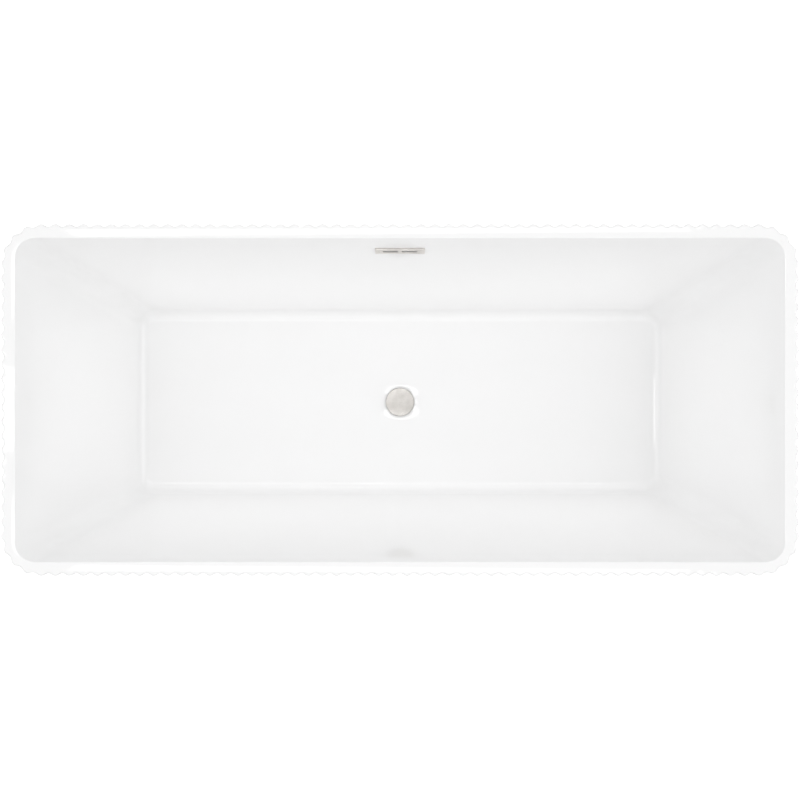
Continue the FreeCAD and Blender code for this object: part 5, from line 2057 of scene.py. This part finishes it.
@dataclass
class UnderFrame(Assembly):
    """Steel frame, plywood board, battens, brackets and their fixings."""

    tube_wall: float = 0.0015
    tube_corner: float = 0.0025
    board_corner: float = 0.040
    board_hole: float = 0.050
    bolt_head: float = 0.005
    bolt_socket: float = 0.006
    screw_head: float = 0.0025
    board_screw_head: float = 0.003

    def build(self) -> None:
        """Builds every piece of the frame."""
        for place in ("rail_front", "rail_back", "cross_left", "cross_right", "cross_middle"):
            self.member(f"frame_{place}")
        self.boards()
        caps = eased_copy("frame_end_caps", "tube_end_caps", 0.0008)
        self.dress(caps, BLACK_MOULDING, "frame_end_caps")
        for place in ("front_left", "front_right", "back_left", "back_right"):
            bracket = eased_copy(f"skirt_bracket_{place}", f"angle_bracket_{place}", 0.0006)
            self.dress(bracket, ZINC, f"skirt_bracket_{place}")
        self.fixings()

    def member(self, node: str) -> None:
        """Builds one square tube.

        Args:
            node: Its CAD node.
        """
        span = Span.of(node)
        side = span.half.z
        inner = side - self.tube_wall
        reach = max(span.half.x, span.half.y)
        hollow = rectangle(inner, inner, self.tube_corner - self.tube_wall)
        tube = sheet(rectangle(side, side, self.tube_corner), [hollow], -reach, reach, 0.0003)
        turn = Matrix.Rotation(math.pi / 2, 4, "Y" if span.half.x > span.half.y else "X")
        piece = tube.moved(Matrix.Translation(span.middle) @ turn).piece(f"{node}_tube", 30)
        self.dress(piece, POWDER, node)

    def boards(self) -> None:
        """Builds the base board and the battens round the foot of the skirt."""
        span = Span.of("base_board")
        outline = rectangle(span.half.x, span.half.y, self.board_corner)
        hole = round_hole(self.board_hole, 0.0, 0.0, 96)
        board = sheet(outline, [hole], span.low.z, span.high.z, 0.0007)
        self.dress(board.piece("base_board_ply", 30), PLY_LONG, "base_board")
        for place in ("front", "back", "left", "right"):
            node = f"skirt_batten_{place}"
            span = Span.of(node)
            strip = sheet(rectangle(span.half.x, span.half.y, 0.002), [], span.low.z, span.high.z, 0.0012)
            piece = strip.at(span.plan).piece(f"{node}_strip", 30)
            finish = PLY_LONG if span.half.x > span.half.y else PLY_CROSS
            self.dress(piece, finish, node)

    def fixings(self) -> None:
        """Builds the bolts, nuts and screws."""
        bolts, nuts, board, bracket = Skin(), Skin(), Skin(), Skin()
        for span in solids("frame_bolts"):
            length = span.high.z - span.low.z - self.bolt_head
            bolt = socket_bolt(span.half.x, self.bolt_head, self.bolt_socket, 0.004, length, 0.00125)
            bolts.join(bolt.at(span.foot + UP * self.bolt_head))
        for span in solids("frame_nuts"):
            nuts.join(nut(span.flats, 0.0, 2 * span.half.z, 0.0041).at(span.foot))
        for span in solids("board_screws"):
            head = self.board_screw_head
            screw = cross_head(span.half.x, head, 0.0025, 2 * span.half.z - head)
            board.join(screw.at(span.foot + UP * head))
        head = self.screw_head
        for span in solids("bracket_screws"):
            middle = span.middle
            screw = cross_head(span.half.x, head, 0.0025, 2 * max(span.half.y, span.half.z) - head)
            if span.half.z > span.half.y:
                place = Matrix.Translation(span.foot + UP * head)
            else:
                side = math.copysign(1.0, middle.y)
                seat = Vector((middle.x, middle.y - side * (span.half.y - head), middle.z))
                place = Matrix.Translation(seat) @ Matrix.Rotation(-side * math.pi / 2, 4, "X")
            bracket.join(screw.moved(place))
        for skin, node, name in (
            (bolts, "frame_bolts", "socket_bolts"),
            (nuts, "frame_nuts", "bolt_nuts"),
            (board, "board_screws", "board_fixing_screws"),
            (bracket, "bracket_screws", "bracket_fixing_screws"),
        ):
            self.dress(skin.piece(name, 32), ZINC, node)


@dataclass
class Foot(Assembly):
    """One adjustable foot: pad and threaded stud."""

    place: str = "middle"
    pitch: float = 0.00175
    thread_depth: float = 0.0009
    stud_radius: float = 0.006
    collar: Pair = (0.0123, 0.0203)
    base_height: float = 0.005
    top_radius: float = 0.018
    socket: float = 0.0061
    socket_floor: float = 0.004
    ribs: int = 16

    def build(self) -> None:
        """Builds the pad and the stud."""
        self.pad()
        self.stud()

    def pad(self) -> None:
        """Builds the moulded pad, ribbed above and grooved below."""
        node = f"foot_{self.place}_pad"
        span = Span.of(node)
        wide, high = span.half.x, span.high.z
        profile = [(0.004, 0.0)]
        for radius in (0.007, 0.012, 0.017):
            groove = ((0.0, 0.0), (0.0006, 0.0007), (0.0022, 0.0007), (0.0028, 0.0))
            profile += [(radius + out, level) for out, level in groove]
        profile += [(wide - 0.0012, 0.0), (wide - 0.0003, 0.0004), (wide, 0.0013)]
        profile += [(wide, self.base_height - 0.0006), (wide - 0.0005, self.base_height)]
        rise = high - self.base_height
        for step in range(1, 8):
            share = step / 8
            radius = wide - 0.0005 + (self.top_radius - wide) * share
            profile.append((radius, self.base_height + rise * share * 0.97))
        profile += [(self.top_radius - 0.0006, high), (self.socket + 0.001, high)]
        profile += [(self.socket, high - 0.0009), (self.socket, self.socket_floor)]

        def ribbed(radius: float, height: float, angle: float) -> float:
            """Draws the cone in between its ribs."""
            share = (height - self.base_height) / rise
            if not 0.05 < share < 0.97 or radius <= self.top_radius:
                return radius
            rib = max(0.0, math.cos(angle * self.ribs)) ** 3
            return radius - 0.0018 * math.sin(math.pi * min(1.0, share * 1.02)) * (1.0 - rib)

        skin = turned(profile, count=160, shape=ribbed).at(span.foot)
        body = f"foot_{self.place}"
        self.dress(skin.piece(f"pad_{self.place}", 40), BLACK_MOULDING, node, body=body)

    def stud(self) -> None:
        """Builds the threaded stud with its hexagonal collar."""
        node = f"foot_{self.place}_stud"
        span = Span.of(node)
        low, high = self.collar
        radius = self.stud_radius
        skin = threaded_rod(radius, high - 0.0002, span.high.z, self.pitch, self.thread_depth, count=40)
        skin.join(nut(span.flats, low, high, 0.0))
        neck = [(radius - 0.0012, span.low.z), (radius, span.low.z + 0.0012), (radius, low + 0.0002)]
        skin.join(turned(neck, count=40))
        piece = skin.at(span.plan).piece(f"stud_{self.place}_rod", 35)
        self.dress(piece, ZINC, node, body=f"stud_{self.place}")


@dataclass
class FootNuts(Assembly):
    """Nuts welded under the frame and the lock nuts below them."""

    bore: float = 0.00605
    bead: float = 0.0012

    def build(self) -> None:
        """Builds both sets of nuts."""
        locks, welds = Skin(), Skin()
        for span in solids("foot_locknuts"):
            locks.join(nut(span.flats, 0.0, 2 * span.half.z, self.bore).at(span.foot))
        for span in solids("weld_nuts"):
            top = 2 * span.half.z
            welds.join(nut(span.flats, 0.0, top, self.bore, (True, False)).at(span.foot))
            welds.join(self.weld(span.flats, top).at(span.foot))
        self.dress(locks.piece("foot_lock_nuts", 32), ZINC, "foot_locknuts")
        self.dress(welds.piece("welded_nuts", 32), ZINC, "weld_nuts")

    def weld(self, size: float, top: float) -> Skin:
        """Rippled bead round the top of a hexagonal nut.

        Args:
            size: Width across the nut's flats.
            top: Height of the nut's upper face.

        Returns:
            The bead's skin.
        """
        count = 144
        skin = Skin()
        rings = []
        for step in range(8):
            turn = step / 7 * math.pi / 2
            points = []
            for index in range(count):
                angle = WHOLE_TURN * index / count
                ripple = 1.0 + 0.12 * math.sin(angle * 30)
                ripple += 0.1 * noise.noise(Vector((angle * 6, size * 900, top)))
                reach = hexagon_radius(size, angle) - 0.0002 + self.bead * ripple * math.sin(turn)
                points.append(polar(reach, angle, top - self.bead * ripple * math.cos(turn)))
            rings.append(points)
        rings.append(circle(size / 2 - 0.001, top, count))
        numbers = skin.rings(rings)
        skin.bridge(numbers[-1], numbers[0])
        return skin


# ---- Studio


@dataclass
class Studio:
    """Floor, soft lights and the camera straight above the tub."""

    camera_place: tuple[float, float, float] = (0.0, -0.034, 3.58)
    lens: float = 63.4
    shift: float = 0.02
    floor_half: float = 14.0
    horizon: float = 0.32
    zenith: float = 0.485
    floor_glow: float = 0.58
    under_glow: float = 0.55
    foot_inset: float = 0.02
    aim: float = 0.3

    def build(self) -> None:
        """Builds the studio."""
        self.view()
        self.world()
        self.floor()
        self.lights()
        bpy.context.scene.view_settings.view_transform = "Standard"

    def view(self) -> None:
        """Places the camera, looking straight down."""
        data = bpy.data.cameras.new("view")
        data.lens = self.lens
        data.sensor_width = 36.0
        data.shift_y = self.shift
        camera = new_object("view", data)
        camera.location = self.camera_place
        bpy.context.scene.camera = camera

    def world(self) -> None:
        """Sets the surround: a pale tent, brighter overhead, that looks plain white itself."""
        world = bpy.data.worlds.new("surround")
        world.use_nodes = True
        graph = Graph(world.node_tree)
        tent = next(n for n in world.node_tree.nodes if n.type == "BACKGROUND")
        rise = graph.part(graph.node("ShaderNodeTexCoord").outputs["Generated"], "Z")
        graph.join(graph.stretch(rise, 0.0, 0.9, self.horizon, self.zenith), tent.inputs["Strength"])
        tent.inputs["Color"].default_value = rgb(1.0, 1.0, 1.0)
        plain = graph.node("ShaderNodeBackground")
        plain.inputs["Color"].default_value = rgb(1.0, 1.0, 1.0)
        blend = graph.node("ShaderNodeMixShader")
        graph.join(graph.node("ShaderNodeLightPath").outputs["Is Camera Ray"], blend.inputs[0])
        graph.join(tent.outputs[0], blend.inputs[1])
        graph.join(plain.outputs[0], blend.inputs[2])
        output = next(n for n in world.node_tree.nodes if n.type == "OUTPUT_WORLD")
        graph.join(blend.outputs[0], output.inputs["Surface"])
        bpy.context.scene.world = world

    def floor(self) -> None:
        """Lays the pale floor, which is clear from below."""
        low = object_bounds()[0].z
        half = self.floor_half
        corners = [(x * half, y * half, low) for x, y in ((-1, -1), (1, -1), (1, 1), (-1, 1))]
        mesh = bpy.data.meshes.new("floor")
        mesh.from_pydata(corners, [], [(0, 1, 2, 3)])
        floor = new_object("floor", mesh)
        paint = Paint("pale_floor")
        graph = paint.graph
        seen = graph.node("ShaderNodeLightPath").outputs["Is Camera Ray"]
        paint.set(Base_Color=rgb(0.82, 0.82, 0.82), Roughness=0.8, Specular_IOR_Level=0.1)
        position = graph.node("ShaderNodeNewGeometry").outputs["Position"]
        skirt = Span.of("outer_skirt").half
        under = self.under_glow
        for axis, half in (("X", skirt.x), ("Y", skirt.y)):
            away = graph.math("ABSOLUTE", graph.part(position, axis))
            within = graph.math("LESS_THAN", away, half - self.foot_inset)
            under = graph.math("MULTIPLY", within, under)
        glow = graph.math("MAXIMUM", graph.math("MULTIPLY", seen, self.floor_glow), under)
        paint.set(Emission_Color=rgb(1.0, 1.0, 1.0), Emission_Strength=glow)
        clear = graph.node("ShaderNodeBsdfTransparent")
        blend = graph.node("ShaderNodeMixShader")
        graph.join(graph.node("ShaderNodeNewGeometry").outputs["Backfacing"], blend.inputs[0])
        graph.join(paint.shader.outputs[0], blend.inputs[1])
        graph.join(clear.outputs[0], blend.inputs[2])
        output = next(n for n in paint.material.node_tree.nodes if n.type == "OUTPUT_MATERIAL")
        graph.join(blend.outputs[0], output.inputs["Surface"])
        mesh.materials.append(paint.material)
        floor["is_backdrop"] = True

    def softbox(self, name: str, place: Sequence[float], size: Pair, power: float) -> None:
        """Hangs a rectangular softbox that faces the tub.

        Args:
            name: Name of the light.
            place: Where it hangs.
            size: Its width and height.
            power: Its power in watts.
        """
        data = bpy.data.lights.new(name, "AREA")
        data.shape = "RECTANGLE"
        data.size, data.size_y = size
        data.energy = power
        light = new_object(name, data)
        light.location = place
        towards = Vector((0.0, 0.0, self.aim)) - Vector(place)
        light.rotation_euler = towards.to_track_quat("-Z", "Y").to_euler()

    def lights(self) -> None:
        """Hangs the softboxes: a large one to the left, strips either side of the zenith."""
        self.softbox("right_box", (3.3, 0.0, 3.05), (2.4, 2.3), 29.0)
        self.softbox("left_box", (-3.3, 0.0, 3.05), (2.4, 2.3), 21.0)
        self.softbox("front_box", (0.0, -3.1, 3.05), (2.8, 2.3), 28.0)
        self.softbox("back_box", (0.0, 3.1, 3.05), (2.8, 2.3), 25.5)
        self.softbox("front_strip", (-0.1, -0.83, 4.4), (3.0, 0.45), 16.0)
        self.softbox("back_strip", (-0.1, 0.83, 4.4), (3.0, 0.45), 16.0)
        self.softbox("left_strip", (-1.9, 0.0, 4.4), (0.4, 1.0), 5.0)


FOOT_PLACES = ("front_left", "front_right", "back_left", "back_right", "middle")


def main() -> None:
    """Builds the tub and its studio."""
    logging.basicConfig(level=logging.INFO, format="%(name)s: %(message)s")
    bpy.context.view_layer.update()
    finishes = Finishes()
    shell = Shell(finishes)
    assemblies: list[Assembly] = [shell, Skirt(finishes, shell), Waste(finishes), Overflow(finishes)]
    assemblies += [UnderFrame(finishes), FootNuts(finishes)]
    assemblies += [Foot(finishes, place) for place in FOOT_PLACES]
    for assembly in assemblies:
        assembly.build()
        log.info("built %s", type(assembly).__name__)
    Studio().build()


if __name__ == "__main__":
    main()
